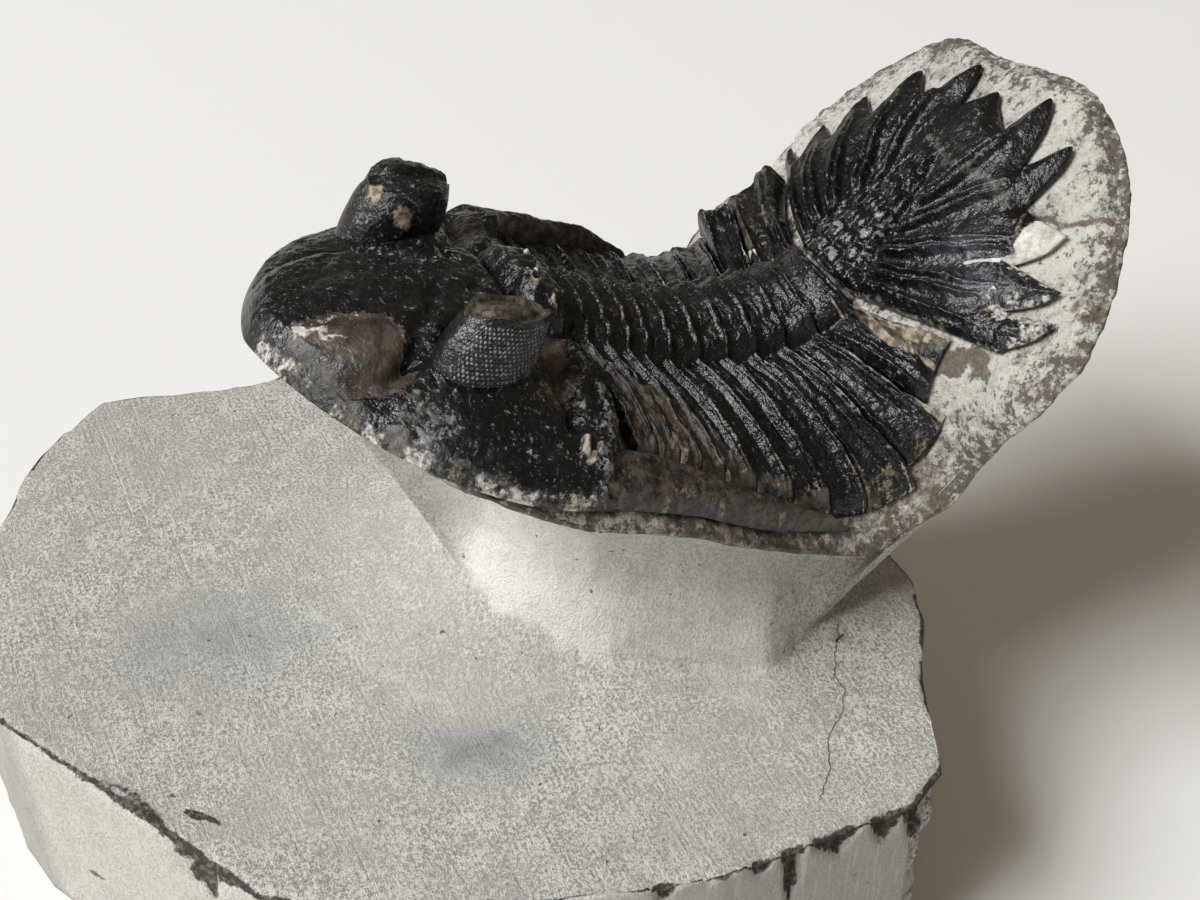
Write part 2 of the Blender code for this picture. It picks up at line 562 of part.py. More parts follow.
main()
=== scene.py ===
# Curled trilobite fossil on its sawn block of limestone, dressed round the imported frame
import math
import bpy
import numpy as np
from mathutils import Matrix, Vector


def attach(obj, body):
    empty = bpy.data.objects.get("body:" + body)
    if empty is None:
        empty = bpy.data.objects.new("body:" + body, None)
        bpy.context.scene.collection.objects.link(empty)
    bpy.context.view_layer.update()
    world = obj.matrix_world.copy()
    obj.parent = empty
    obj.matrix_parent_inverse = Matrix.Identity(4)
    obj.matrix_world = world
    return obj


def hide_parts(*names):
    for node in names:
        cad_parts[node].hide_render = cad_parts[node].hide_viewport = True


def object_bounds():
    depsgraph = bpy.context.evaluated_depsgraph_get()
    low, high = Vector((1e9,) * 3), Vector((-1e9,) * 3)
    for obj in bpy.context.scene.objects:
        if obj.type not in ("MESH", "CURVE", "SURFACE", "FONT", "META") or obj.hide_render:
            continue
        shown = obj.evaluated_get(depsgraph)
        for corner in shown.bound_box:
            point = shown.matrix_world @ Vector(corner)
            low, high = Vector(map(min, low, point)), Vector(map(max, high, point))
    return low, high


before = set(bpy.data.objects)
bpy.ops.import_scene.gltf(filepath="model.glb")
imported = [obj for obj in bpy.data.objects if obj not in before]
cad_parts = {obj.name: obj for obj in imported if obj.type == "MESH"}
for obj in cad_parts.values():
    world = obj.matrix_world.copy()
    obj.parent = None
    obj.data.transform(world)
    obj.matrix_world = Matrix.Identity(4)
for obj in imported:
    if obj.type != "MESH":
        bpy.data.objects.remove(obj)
lowBox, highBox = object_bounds()
mm = 0.001
inset = 2e-6
print("frame loaded")

# The animal's own frame: distance along the body, out to its right, height above its base, in millimetres
body = {
    "shift": (13.0, 0.0, 26.5),            # from the body's frame to the block's
    "snout": (-23.2, 17.5),                # where the body axis starts, x and z
    "pitch": [(0, -24.5), (17, -24.5), (22.5, -28), (28, -17.5), (33, -8), (38, 1), (43, 18), (48, 40.7),
              (90, 40.7)],
    "roll": [(0, 0), (37, 0), (48, -8.3), (90, -8.3)],
    "crest": 6.3,                          # height of the back above the axis
    "gap": 0.5,                            # clear space between shell and rock
}


def easeStep(low, high, value):
    # 0 below low, 1 above high, t*t*(3 - 2t) between them; falling where low is the greater
    t = np.clip((np.asarray(value, float) - low) / (high - low), 0, 1)
    return t * t * (3 - 2 * t)


def smoothThrough(keys, value):
    # monotone cubic through the keys: each slope is the harmonic mean of the slopes on its two sides
    x = np.array([k[0] for k in keys], float)
    y = np.array([k[1] for k in keys], float)
    rise = np.diff(y) / np.diff(x)
    before, after = rise[:-1], rise[1:]
    turning = before * after <= 0
    inner = np.where(turning, 0, 2 * before * after / np.where(turning, 1, before + after))
    slope = np.concatenate([[rise[0]], inner, [rise[-1]]])
    value = np.clip(np.asarray(value, float), x[0], x[-1])
    i = np.clip(np.searchsorted(x, value, side="right") - 1, 0, len(x) - 2)
    width = x[i + 1] - x[i]
    t = (value - x[i]) / width
    return ((2 * t**3 - 3 * t**2 + 1) * y[i] + (t**3 - 2 * t**2 + t) * width * slope[i]
            + (3 * t**2 - 2 * t**3) * y[i + 1] + (t**3 - t**2) * width * slope[i + 1])


def bodyAxis():
    # x and z are the running sums of the cosine and sine of the pitch along the body
    along = np.linspace(-8, 80, 1761)
    pitch = np.radians(smoothThrough(body["pitch"], along))
    roll = np.radians(smoothThrough(body["roll"], along))
    step = along[1] - along[0]
    middle = (pitch[1:] + pitch[:-1]) / 2
    x = np.concatenate([[0], np.cumsum(np.cos(middle) * step)])
    z = np.concatenate([[0], np.cumsum(np.sin(middle) * step)])
    x += body["snout"][0] - np.interp(0, along, x)
    z += body["snout"][1] - np.interp(0, along, z)
    return along, x, z, pitch, roll


axisLine = bodyAxis()


def placeBody(along, out, height):
    # axis point + height times the axis's normal, after a roll about the crest line
    along, out, height = np.broadcast_arrays(np.asarray(along, float), out, height)
    x, z, pitch, roll = (np.interp(along, axisLine[0], row) for row in axisLine[1:])
    side = out * np.cos(roll) - (height - body["crest"]) * np.sin(roll)
    up = body["crest"] + out * np.sin(roll) + (height - body["crest"]) * np.cos(roll)
    return np.stack([x - np.sin(pitch) * up + body["shift"][0], side + body["shift"][1],
                     z + np.cos(pitch) * up + body["shift"][2]], -1)


def latticeNoise(points, size, seed):
    # random values at the corners of cells of the given size, blended by t*t*(3 - 2t) along each axis
    spot = np.asarray(points, float) / size
    cell = np.floor(spot).astype(np.int64)
    t = spot - cell
    t = t * t * (3 - 2 * t)

    def corner(dx, dy, dz):
        # a hash of the corner's whole numbers, from -1 to 1
        n = ((cell[..., 0] + dx) * 73856093) ^ ((cell[..., 1] + dy) * 19349663) ^ ((cell[..., 2] + dz) * 83492791)
        n = (n + seed * 7919) & 0xFFFFFFFF
        n = ((n ^ (n >> 15)) * 73244475) & 0xFFFFFFFF
        n = ((n ^ (n >> 13)) * 73244475) & 0xFFFFFFFF
        return ((n ^ (n >> 16)) & 0xFFFF) / 32767.5 - 1

    total = 0
    for dx in (0, 1):
        for dy in (0, 1):
            for dz in (0, 1):
                weight = ((t[..., 0] if dx else 1 - t[..., 0]) * (t[..., 1] if dy else 1 - t[..., 1])
                          * (t[..., 2] if dz else 1 - t[..., 2]))
                total = total + weight * corner(dx, dy, dz)
    return total


def roughNoise(points, size, seed, octaves=3, keep=0.6):
    # sum of lattice noises, each half the size and `keep` times the strength of the one before
    total, strength = 0, 1.0
    for octave in range(octaves):
        total = total + strength * latticeNoise(points, size / 2**octave, seed + octave * 31)
        strength *= keep
    return total


def onSkin(along, out):
    # the point (along, out, 0), for noise that follows the skin
    along, out = np.broadcast_arrays(along, out)
    return np.stack([along, out, np.zeros_like(along)], -1)


def bell(distance, width):
    # exp(-d*d), d the distance in widths
    return np.exp(-((distance / width) ** 2))


def spotMask(along, out, middle, reach, turn=0.0):
    # exp(-d*d), d counted in reaches from the middle, after a turn in degrees
    a = np.radians(turn)
    x, y = along - middle[0], out - middle[1]
    u = (x * np.cos(a) + y * np.sin(a)) / reach[0]
    w = (-x * np.sin(a) + y * np.cos(a)) / reach[1]
    return np.exp(-(u * u + w * w))


def pathDistance(x, y, path):
    # least distance from each point to the broken line
    best = np.full(np.shape(x), np.inf)
    for (x0, y0), (x1, y1) in zip(path[:-1], path[1:]):
        dx, dy = x1 - x0, y1 - y0
        t = np.clip(((x - x0) * dx + (y - y0) * dy) / (dx * dx + dy * dy + 1e-12), 0, 1)
        best = np.minimum(best, np.hypot(x - x0 - t * dx, y - y0 - t * dy))
    return best


def insideShape(x, y, corners, soft):
    # 0 outside the closed outline and 1 inside, over a band of half width soft; inside by the even-odd rule
    corners = np.array(corners, float)
    odd = np.zeros(np.shape(x), bool)
    for (x0, y0), (x1, y1) in zip(corners, np.roll(corners, -1, 0)):
        odd ^= ((y0 > y) != (y1 > y)) & (x < (x1 - x0) * (y - y0) / (y1 - y0 + 1e-12) + x0)
    away = pathDistance(x, y, np.vstack([corners, corners[:1]]))
    return easeStep(-soft, soft, np.where(odd, away, -away))


def streak(x, y, path, width):
    # a bell curve of the distance from the broken line
    return bell(pathDistance(x, y, path), width)


# Meshes from grids of points
def gridQuads(rows, columns, wrapRows=False, wrapColumns=False):
    # corner numbers (r, c), (r, c+1), (r+1, c+1), (r+1, c) for every cell
    r = np.arange(rows if wrapRows else rows - 1)[:, None]
    c = np.arange(columns if wrapColumns else columns - 1)
    below, beside = (r + 1) % rows, (c + 1) % columns
    quads = np.stack([r * columns + c, r * columns + beside, below * columns + beside, below * columns + c], -1)
    return quads.reshape(-1, 4)


def slotFaces(count, first=0):
    # faces across a narrow closed ring, from each column to the one opposite it
    column = np.arange(count // 2)
    return np.stack([column, column + 1, count - column - 1, (count - column) % count], -1) + first


def ringQuads(rings, count):
    # quads between stacked rings, whose first and last are narrow and closed by faces across them
    return np.concatenate([gridQuads(rings, count, wrapColumns=True), slotFaces(count)[:, ::-1],
                           slotFaces(count, (rings - 1) * count)])


def padMarks(marks, shape, rows=(0, 0), columns=(0, 0), mode="constant"):
    # each mark spread over the grid, with zeros ("constant") or its outer values ("edge") on the rows added
    return {key: np.pad(np.broadcast_to(value, shape), (rows, columns), mode) for key, value in marks.items()}


def shrunk(rows):
    # all points of each row moved to their middle
    return rows.mean(1, keepdims=True) + 0 * rows


def weldPoints(points, quads, marks):
    # points at the same place become one, and a face keeps its different corners only
    keys = np.round(points / (mm * 1e-4)).astype(np.int64)
    keys = keys - keys.min(0)
    span = keys.max(0) + 1
    flat = (keys[:, 0] * span[1] + keys[:, 1]) * span[2] + keys[:, 2]
    _, first, back = np.unique(flat, return_index=True, return_inverse=True)
    quads = back.reshape(-1)[quads]
    same = quads == np.roll(quads, -1, 1)
    whole = quads[~same.any(1)]
    whole = whole[(whole[:, 0] != whole[:, 2]) & (whole[:, 1] != whole[:, 3])]
    single = same.sum(1) == 1
    folded, dropped = quads[single], same[single]
    triangles = folded[~dropped].reshape(-1, 3)
    return points[first], whole, triangles, {name: values[first] for name, values in marks.items()}


def makePiece(name, points, quads, marks, material, node):
    # points in millimetres, kept inside the frame's box; faces are turned outwards by the sign of the volume
    points = np.clip(points.reshape(-1, 3) * mm, np.array(lowBox) + inset, np.array(highBox) - inset)
    marks = {key: np.asarray(values, float).reshape(-1) for key, values in marks.items()}
    points, whole, triangles, marks = weldPoints(points, quads, marks)
    volume = 0.0
    for corners in (whole[:, [0, 1, 2]], whole[:, [0, 2, 3]], triangles):
        a, b, c = (points[corners[:, k]] for k in range(3))
        volume += np.einsum("ij,ij->i", a, np.cross(b, c)).sum()
    if volume < 0:
        whole, triangles = whole[:, ::-1], triangles[:, ::-1]
    mesh = bpy.data.meshes.new(name)
    mesh.vertices.add(len(points))
    mesh.vertices.foreach_set("co", points.ravel())
    loops = np.concatenate([whole.ravel(), triangles.ravel()])
    sizes = np.concatenate([np.full(len(whole), 4), np.full(len(triangles), 3)])
    mesh.loops.add(len(loops))
    mesh.loops.foreach_set("vertex_index", loops)
    mesh.polygons.add(len(sizes))
    mesh.polygons.foreach_set("loop_start", np.concatenate([[0], np.cumsum(sizes)[:-1]]))
    mesh.update(calc_edges=True)
    mesh.validate()
    for key, values in marks.items():
        mesh.attributes.new(key, "FLOAT", "POINT").data.foreach_set("value", values)
    mesh.shade_smooth()
    mesh.materials.append(material)
    piece = bpy.data.objects.new(name, mesh)
    bpy.context.scene.collection.objects.link(piece)
    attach(piece, "root")
    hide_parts(node)
    print(name, len(whole) * 2 + len(triangles), "triangles")


# Shader sums
class Socket:
    # a node's output that can stand in a sum
    def __init__(self, tree, socket):
        self.tree, self.socket = tree, socket

    def join(self, operation, first, second):
        # a Math node fed by the two, each a socket or a number
        node = self.tree.nodes.new("ShaderNodeMath")
        node.operation = operation
        for place, value in ((0, first), (1, second)):
            if isinstance(value, Socket):
                self.tree.links.new(value.socket, node.inputs[place])
            else:
                node.inputs[place].default_value = value
        return Socket(self.tree, node.outputs[0])

    def __add__(self, other): return self.join("ADD", self, other)
    def __radd__(self, other): return self.join("ADD", other, self)
    def __sub__(self, other): return self.join("SUBTRACT", self, other)
    def __rsub__(self, other): return self.join("SUBTRACT", other, self)
    def __mul__(self, other): return self.join("MULTIPLY", self, other)
    def __rmul__(self, other): return self.join("MULTIPLY", other, self)


class Finish:
    # a material whose nodes are added one by one
    def __init__(self, name):
        self.material = bpy.data.materials.new(name)
        self.material.use_nodes = True
        self.tree = self.material.node_tree
        self.shader = self.tree.nodes["Principled BSDF"]

    def node(self, kind, settings=None, values=None, output=0):
        # settings first, then the sockets' values or links
        node = self.tree.nodes.new(kind)
        for key, value in (settings or {}).items():
            setattr(node, key, value)
        for key, value in (values or {}).items():
            self.put(node.inputs[key], value)
        return Socket(self.tree, node.outputs[output])

    def put(self, socket, value):
        # a link from another node, a colour with its alpha, or a plain value
        if isinstance(value, Socket):
            self.tree.links.new(value.socket, socket)
        elif isinstance(value, tuple) and socket.type == "RGBA":
            socket.default_value = (*value, 1)
        else:
            socket.default_value = value

    def place(self):
        # the object's own coordinates, in metres
        return self.node("ShaderNodeTexCoord", output="Object")

    def stretched(self, scale, turn):
        # the same, turned and then scaled along each axis
        return self.node("ShaderNodeMapping", values={"Vector": self.place(), "Rotation": turn, "Scale": scale})

    def noise(self, scale, detail, roughness, vector=None):
        # a noise from 0 to 1, its cells 1/scale metres wide
        return self.node("ShaderNodeTexNoise", values={
            "Vector": vector or self.place(), "Scale": scale, "Detail": detail, "Roughness": roughness})

    def mark(self, name):
        # a value that the mesh carries at its points, 0 where it has none
        return self.node("ShaderNodeAttribute", {"attribute_name": name}, output="Fac")

    def step(self, value, low, high):
        # t*t*(3 - 2t), t the value's share of the way from low to high
        return self.node("ShaderNodeMapRange", {"interpolation_type": "SMOOTHSTEP"}, {
            "Value": value, "From Min": low, "From Max": high})

    def blend(self, share, first, second):
        # first where share is 0, second where it is 1
        return self.node("ShaderNodeMix", {"data_type": "RGBA"}, {0: share, 6: first, 7: second}, output=2)

    def surface(self, colour, roughness, relief, depth):
        # colour, roughness and a bump of the relief, depth metres for a relief of 1
        bump = self.node("ShaderNodeBump", values={"Height": relief, "Distance": depth, "Strength": 1.0})
        for name, value in (("Base Color", colour), ("Roughness", roughness), ("Normal", bump)):
            self.put(self.shader.inputs[name], value)
        return self.material


def shellFinish():
    # Black calcite shell: charcoal mottling, worn grey on its high places and as painted highlights on ridges,
    # beads and lens tops, peppered with pale dust, bluish tints and painted sheen, brown, olive, tan and white
    # crusts where rock still clings (the white also painted highlights on the thorax's ridges); marks give the
    # places, noises give them ragged edges
    look = {
        "black": (0.0028, 0.0030, 0.0034), "charcoal": (0.013, 0.0137, 0.0148), "wornAndGlintGrey": (0.27, 0.27, 0.265),
        "darkBrown": (0.030, 0.023, 0.017), "brown": (0.115, 0.092, 0.073), "darkOlive": (0.045, 0.045, 0.036),
        "olive": (0.135, 0.132, 0.110), "tan": (0.135, 0.105, 0.070), "cream": (0.38, 0.325, 0.245),
        "bluish": (0.085, 0.097, 0.125), "taupe": (0.088, 0.071, 0.057), "umber": (0.034, 0.027, 0.021),
        "grey": (0.27, 0.26, 0.23), "white": (0.70, 0.68, 0.63), "pale": (0.48, 0.46, 0.42),
    }
    f = Finish("shellFinish")
    cloud = f.noise(420, 4, 0.60)
    fine = f.noise(1900, 3, 0.62)
    grain = f.noise(5200, 2, 0.60)

    def crust(colour, name, scale, dark, light):
        # a ragged patch where the mark and a noise together pass a threshold
        share = f.step(f.mark(name) + (f.noise(scale, 6, 0.74) - 0.5) * 1.35, 0.34, 0.60)
        tone = f.blend(f.step(f.noise(scale * 0.9, 3, 0.62), 0.38, 0.62), look[dark], look[light])
        return share, f.blend(share, colour, tone)

    colour = f.blend(f.step(cloud * 0.45 + fine * 0.55, 0.46, 0.66), look["black"], look["charcoal"])
    # worn grey: real wear on high places, and painted highlights where the mark follows ridges, beads and lens tops
    wearAndGlint = f.step(f.mark("wearAndGlint") * 0.9 + (fine - 0.5) * 1.7 + (grain - 0.5) * 1.1, 0.36, 0.60)
    colour = f.blend(wearAndGlint * 0.85, colour, look["wornAndGlintGrey"])
    scrape = f.noise(1.0, 4, 0.62, f.stretched((5200, 800, 5200), (0.3, 0, 0.9)))
    colour = f.blend(f.step(scrape, 0.645, 0.685) * 0.5, colour, look["wornAndGlintGrey"])
    # bluish tint: real on the tail and cheek, a painted reflection where it marks the front of the eye
    colour = f.blend(f.mark("blueAndSheen") * f.step(fine * 0.6 + cloud * 0.4, 0.36, 0.60) * 0.8, colour, look["bluish"])
    brown, colour = crust(colour, "brown", 1300, "darkBrown", "brown")
    bare = f.step(f.mark("taupe") + (f.noise(800, 5, 0.66) - 0.5) * 0.9, 0.36, 0.50)
    colour = f.blend(bare, colour, f.blend(f.step(cloud, 0.40, 0.60), look["umber"], look["taupe"]))
    olive, colour = crust(colour, "olive", 1700, "darkOlive", "olive")
    dust = f.step(f.noise(4200, 3, 0.66), 0.665, 0.705) * 0.9
    colour = f.blend(dust, colour, look["grey"])
    tan, colour = crust(colour, "tan", 1900, "tan", "cream")
    # white crust of chalk; on the thorax's ridges the same white is a painted highlight
    chalkAndGlint, colour = crust(colour, "chalkAndGlint", 2300, "pale", "white")
    dusty = brown * 0.12 + olive * 0.20 + tan * 0.35 + chalkAndGlint * 0.35 + f.mark("dull") * 0.22
    relief = cloud * 0.5 + fine * 0.34 + grain * 0.13 + tan * 0.08 + chalkAndGlint * 0.08
    f.shader.inputs["Specular IOR Level"].default_value = 0.52
    return f.surface(colour, 0.20 + fine * 0.14 + dusty, relief, 0.00036)


def rimFinish():
    # Cream limestone of the rim: bright, mottled with grey and brown specks that gather at its edge; greyer on its
    # lip and black under the shell, both painted shade
    look = {"cream": (0.66, 0.635, 0.58), "grey": (0.31, 0.30, 0.275), "brown": (0.075, 0.060, 0.045),
            "ochre": (0.19, 0.150, 0.100), "clay": (0.085, 0.068, 0.050), "black": (0.020, 0.018, 0.016)}
    f = Finish("rimFinish")
    cloud = f.noise(230, 5, 0.62)
    mottle = f.noise(1000, 6, 0.74)
    grain = f.noise(4200, 4, 0.68)
    # the grey mark raises the grey share, as painted shade on the lip
    tone = cloud * 0.34 + mottle * 0.38 + grain * 0.28 + f.mark("grey") * 0.11
    colour = f.blend(f.step(tone, 0.45, 0.62), look["cream"], look["grey"])
    specks = f.step(f.noise(1500, 6, 0.76) + f.mark("edge") * 0.20 + (cloud - 0.5) * 0.34, 0.560, 0.64)
    colour = f.blend(specks * 0.85, colour, look["brown"])
    earth = f.step(f.mark("earth") + (f.noise(1300, 6, 0.74) - 0.5) * 1.4, 0.34, 0.66)
    colour = f.blend(earth * 0.9, colour, f.blend(f.step(grain, 0.42, 0.60), look["clay"], look["ochre"]))
    # the dark mark: painted shade under the shell and below the rim, and dark patches near the edge behind the tail
    dark = f.step(f.mark("dark") + (mottle - 0.5) * 1.2, 0.40, 0.64)
    colour = f.blend(dark, colour, look["black"])
    return f.surface(colour, 0.60 + mottle * 0.35, mottle * 0.6 + grain * 0.5, 0.00045)


def blockFinish():
    # Sawn and ground limestone: grey with a fine bright grain, bluish stains, faint scratches in two directions,
    # a whitened neck painted brightest on its facet toward the window and greyer on those turned away, bright saw
    # lines on its front face darkened as painted shade, hair cracks, and dark broken stone at its edges, darker
    # still on the broken sides as painted shade
    look = {"light": (0.73, 0.715, 0.68), "shade": (0.315, 0.307, 0.288), "stain": (0.23, 0.25, 0.26),
            "broken": (0.046, 0.040, 0.033), "rust": (0.19, 0.166, 0.137), "white": (0.88, 0.87, 0.84),
            "bone": (0.70, 0.69, 0.66), "pit": (0.060, 0.056, 0.050), "warm": (0.55, 0.51, 0.46),
            "cool": (0.44, 0.465, 0.455), "sawn": (0.70, 0.685, 0.635), "sawnShade": (0.50, 0.485, 0.44)}
    f = Finish("blockFinish")
    cloud = f.noise(75, 4, 0.55)
    patch = f.noise(480, 5, 0.62)
    grain = f.noise(3900, 4, 0.72)
    fine = f.noise(9000, 2, 0.6)
    tone = cloud * 0.08 + patch * 0.14 + grain * 0.50 + fine * 0.28
    coarse = f.step(cloud * 0.6 + patch * 0.4, 0.42, 0.58)
    bright = 0.55 + (f.step(tone, 0.44, 0.57) - 0.5) * (0.68 + coarse * 0.55)
    colour = f.blend(bright, look["shade"], look["light"])
    lines = f.noise(1.0, 2, 0.5, f.stretched((3000, 75, 75), (0, 0, math.radians(-38))))
    others = f.noise(1.0, 2, 0.5, f.stretched((2600, 70, 70), (0, 0, math.radians(64))))
    scored = (f.step(lines, 0.62, 0.68) + f.step(others, 0.63, 0.69)) * f.mark("ground")
    colour = f.blend(scored * 0.12, colour, look["light"])
    colour = f.blend(f.step(f.noise(110, 3, 0.5), 0.50, 0.70) * 0.40, colour, look["warm"])
    drift = f.noise(95, 3, 0.5, f.stretched((95, 95, 95), (0.4, 0, 1.1)))
    colour = f.blend(f.step(drift, 0.52, 0.72) * 0.45, colour, look["cool"])
    colour = f.blend(f.mark("sawn"), colour, f.blend(f.step(tone, 0.46, 0.56), look["sawn"], look["sawnShade"]))
    saw = f.noise(1.0, 3, 0.5, f.stretched((3800, 3800, 260), (0.55, 0, 0)))
    # painted shade: the front sawn face, turned away from the window, is blended towards the darker grey
    colour = f.blend(f.mark("paintedShade") * 0.62, colour, look["shade"])
    colour = f.blend(f.mark("paintedShade") * f.step(saw, 0.54, 0.64) * 0.35, colour, look["sawn"])
    colour = f.blend(f.step(f.mark("seam") + (grain - 0.5) * 1.2, 0.35, 0.6) * 0.8, colour, look["pit"])
    chalky = f.blend(f.step(patch * 0.3 + grain * 0.4 + fine * 0.3, 0.42, 0.54), look["bone"], look["white"])
    # whitened neck; how much white it gets on each facet is painted light and shade
    colour = f.blend(f.mark("white"), colour, chalky)
    colour = f.blend(f.mark("ochre") * f.step(grain, 0.38, 0.6) * 0.6, colour, look["warm"])
    stain = f.mark("stain") * f.step(patch * 0.4 + grain * 0.6, 0.34, 0.60)
    colour = f.blend(stain * 0.85, colour, look["stain"])
    specks = f.step(f.noise(1150, 4, 0.66), 0.680, 0.715)
    specks = specks + f.step(f.noise(560, 4, 0.7), 0.672, 0.700) * f.mark("white")
    colour = f.blend(specks * 0.8, colour, look["pit"])
    crack = f.mark("crack") + (patch - 0.5) * 0.9 + (f.noise(2000, 3, 0.6) - 0.5) * 0.35
    crack = f.step(f.node("ShaderNodeMath", {"operation": "ABSOLUTE"}, {0: crack}), 0.075, 0.015)
    colour = f.blend(crack * f.step(grain, 0.40, 0.52) * 0.6, colour, look["pit"])
    # dark mark: broken stone, and painted shade over the broken sides
    dark = f.step(f.mark("dark") + (f.noise(1300, 6, 0.75) - 0.5) * 1.1, 0.40, 0.60)
    crumbs = f.step(f.noise(2100, 5, 0.72), 0.46, 0.62)
    colour = f.blend(dark, colour, f.blend(crumbs, look["broken"], look["rust"]))
    strokes = f.noise(1.0, 3, 0.5, f.stretched((3400, 330, 600), (0, 0, math.radians(-38))))
    crossing = f.noise(1.0, 3, 0.5, f.stretched((3000, 300, 600), (0, 0, math.radians(58))))
    swept = f.step(cloud, 0.42, 0.58)
    scratch = strokes * swept + crossing * (1 - swept) - scored * 0.16
    relief = grain * 0.55 + fine * 0.30 - specks * 0.4 - crack * 0.5
    relief = relief + scratch * (0.30 * f.mark("ground")) + saw * (0.25 * f.mark("sawn"))
    return f.surface(colour, 0.62 + grain * 0.30, relief, 0.00034)


shell = shellFinish()
rimStone = rimFinish()
blockStone = blockFinish()

# Head shield
head = {
    "widest": 17.4, "frontReach": 17.8, "halfWidth": 16.2, "cheek": 6.3, "farLift": 1.2, "farLobe": 0.82,
    "rear": [(-16.2, 18.0), (-12.7, 18.8), (-10.4, 19.2), (-8.0, 18.9), (-4.3, 17.9), (4.3, 17.9), (8.0, 19.0),
             (12.7, 20.3), (16.2, 20.3)],
    "lobeWidth": [(-0.5, 3.6), (2.5, 6.6), (4.6, 7.4), (7, 6.7), (10, 5.3), (14, 4.3), (18, 4.6)],
    "lobeHeight": [(-0.5, 0.9), (0.9, 2.2), (2.2, 3.0), (3.8, 3.7), (6, 4.5), (8, 5.2), (11, 6.2), (13.6, 6.5),
                   (14.7, 6.2), (16, 7.5), (18, 7.3)],
    "columns": 320, "rows": 290, "underRows": 10,
    "patch": [(1.2, -2.0), (3.0, -2.5), (5.3, -3.1), (6.6, -4.2), (7.0, -5.3), (6.3, -8.4), (4.9, -8.9),
              (2.8, -7.3), (1.4, -4.6)],
    "bareStone": [(4.9, -4.8), (6.7, -5.0), (6.5, -6.0), (4.8, -6.0)],
    "greyStreak": [(1.5, -2.5), (2.4, -4.2), (3.0, -4.8)],
    "speckLine": [(3.0, -3.0), (4.3, -2.7), (5.6, -3.9)],
    "oliveCheek": [(5.0, -8.0), (6.6, -8.6), (8.6, -11.4), (8.4, -12.6), (6.2, -11.6), (4.8, -9.9)],
    "hollow": [(14.6, -4.9), (17.2, -5.2), (17.2, -8.2), (15.6, -8.4)],
    "tanPatch": [(15.6, -7.4), (16.9, -7.6), (16.7, -10.6), (14.8, -11.2), (14.0, -9.9)],
    "vein": [(17.4, 2.2), (16.8, 0.2), (16.0, -2.0)], "veinFoot": [(15.9, -2.2), (16.9, -2.9), (18.1, -3.3)],
    "lowerVein": [(16.2, -13.1), (16.1, -14.5), (15.95, -15.6), (16.3, -16.3)],
    "whiteStreak": [(15.5, 0.8), (15.2, -1.3)],
    "knob": (19.7, 10.8),
    # furrows on the glabella's flanks: place along, slant, depth and width
    "furrows": [(10.3, -0.62, 0.45, 0.60), (12.6, -0.22, 0.50, 0.45), (15.0, -0.05, 0.55, 0.40)],
}
nearEye = {"along": 10.7, "out": -7.8, "halfLength": 3.1, "halfWidth": 2.25, "top": 8.45, "topShare": 0.84,
           "topShift": 0.40, "cap": 0.08, "frontDrop": 0.9, "rearRise": 0.35, "lenses": True, "seed": 21}
farEye = {"along": 10.9, "out": 8.5, "halfLength": 3.2, "halfWidth": 2.7, "top": 9.0, "topShare": 0.84,
          "topShift": 0.30, "cap": 0.8, "frontDrop": 1.3, "rearRise": 0.3, "lenses": False, "seed": 22}
eyeRings = {"columns": 440, "wall": 110, "cap": 39}
lens = {"columns": 68, "rows": 9.0, "across": 0.245, "up": 0.38, "radius": 0.112, "rise": 0.065}
spines = {"notch": 12.7, "nearEnd": 37.0, "farEnd": 36.8, "tipOut": 15.6, "root": 0.16,
          "rows": 260, "columns": 72}


# Thorax
thorax = {
    "edges": [18.35, 19.9, 21.5, 23.2, 25.1, 27.6, 30.3, 33.0, 35.6, 38.3, 41.4, 46.2],
    "sweep": [(18, 2.2), (36, 2.7), (39, 3.0), (42, 3.4), (47, 3.1)],
    "axisHalfWidth": 4.3, "reach": 14.6,
    "furrow": [(18, 4.6), (24, 4.2), (28, 3.9), (36, 3.5), (42, 3.4), (47, 4.6), (54, 4.9), (90, 4.9)],
    "nearTip": [(0, 0.4), (17, 1.2), (24, 1.3), (28, 0.6), (32, -0.6), (35.5, -1.8), (39, -2.9), (42, -2.9),
                (46, -1.0), (50, 1.6), (54, 2.6), (90, 2.6)],
    "farTip": [(0, 0.4), (12, 1.2), (18, 2.6), (24, 2.7), (30, 2.0), (34, 0.9), (37, 0.2), (40, 0.6), (42.5, 3.0),
               (45.4, 5.4), (47.4, 4.6), (51, 3.0), (55, 2.6), (90, 2.6)],
    "columns": 260, "topRows": 58,
    "buried": [13.6, 12.2],                # how far out the last two segments reach on the near side
    # heights across a segment, from its front edge to its rear one: the ring climbs to a sharp rear rim, and a
    # pleura has a thin front ridge, a flat dark band and a doubled rear ridge
    "ring": [(0, -0.62), (0.10, -0.46), (0.35, -0.22), (0.62, 0.02), (0.80, 0.14), (0.88, 0.34), (0.95, 0.34),
             (1, -0.05)],
    "pleura": [(0, -0.42), (0.05, -0.10), (0.12, 0.12), (0.20, -0.10), (0.32, -0.16), (0.50, -0.08), (0.64, -0.12),
               (0.72, 0.06), (0.79, 0.30), (0.85, 0.10), (0.91, 0.30), (0.96, 0.20), (1, -0.2)],
    "crust": [(20.2, -5.6), (23.5, -7.4), (26.6, -8.8), (28.8, -11.6), (30.5, -14.0), (26.0, -14.5), (20.4, -12.8)],
    "redLine": [(21.6, -12.6), (26.8, -13.1), (30.3, -13.4), (33.0, -14.0), (35.7, -14.6)],
    "palePatch": (42.4, 7.0), "fold": [(46.0, 13.4), (44.4, 11.6), (44.0, 9.8), (43.4, 7.6)],
}


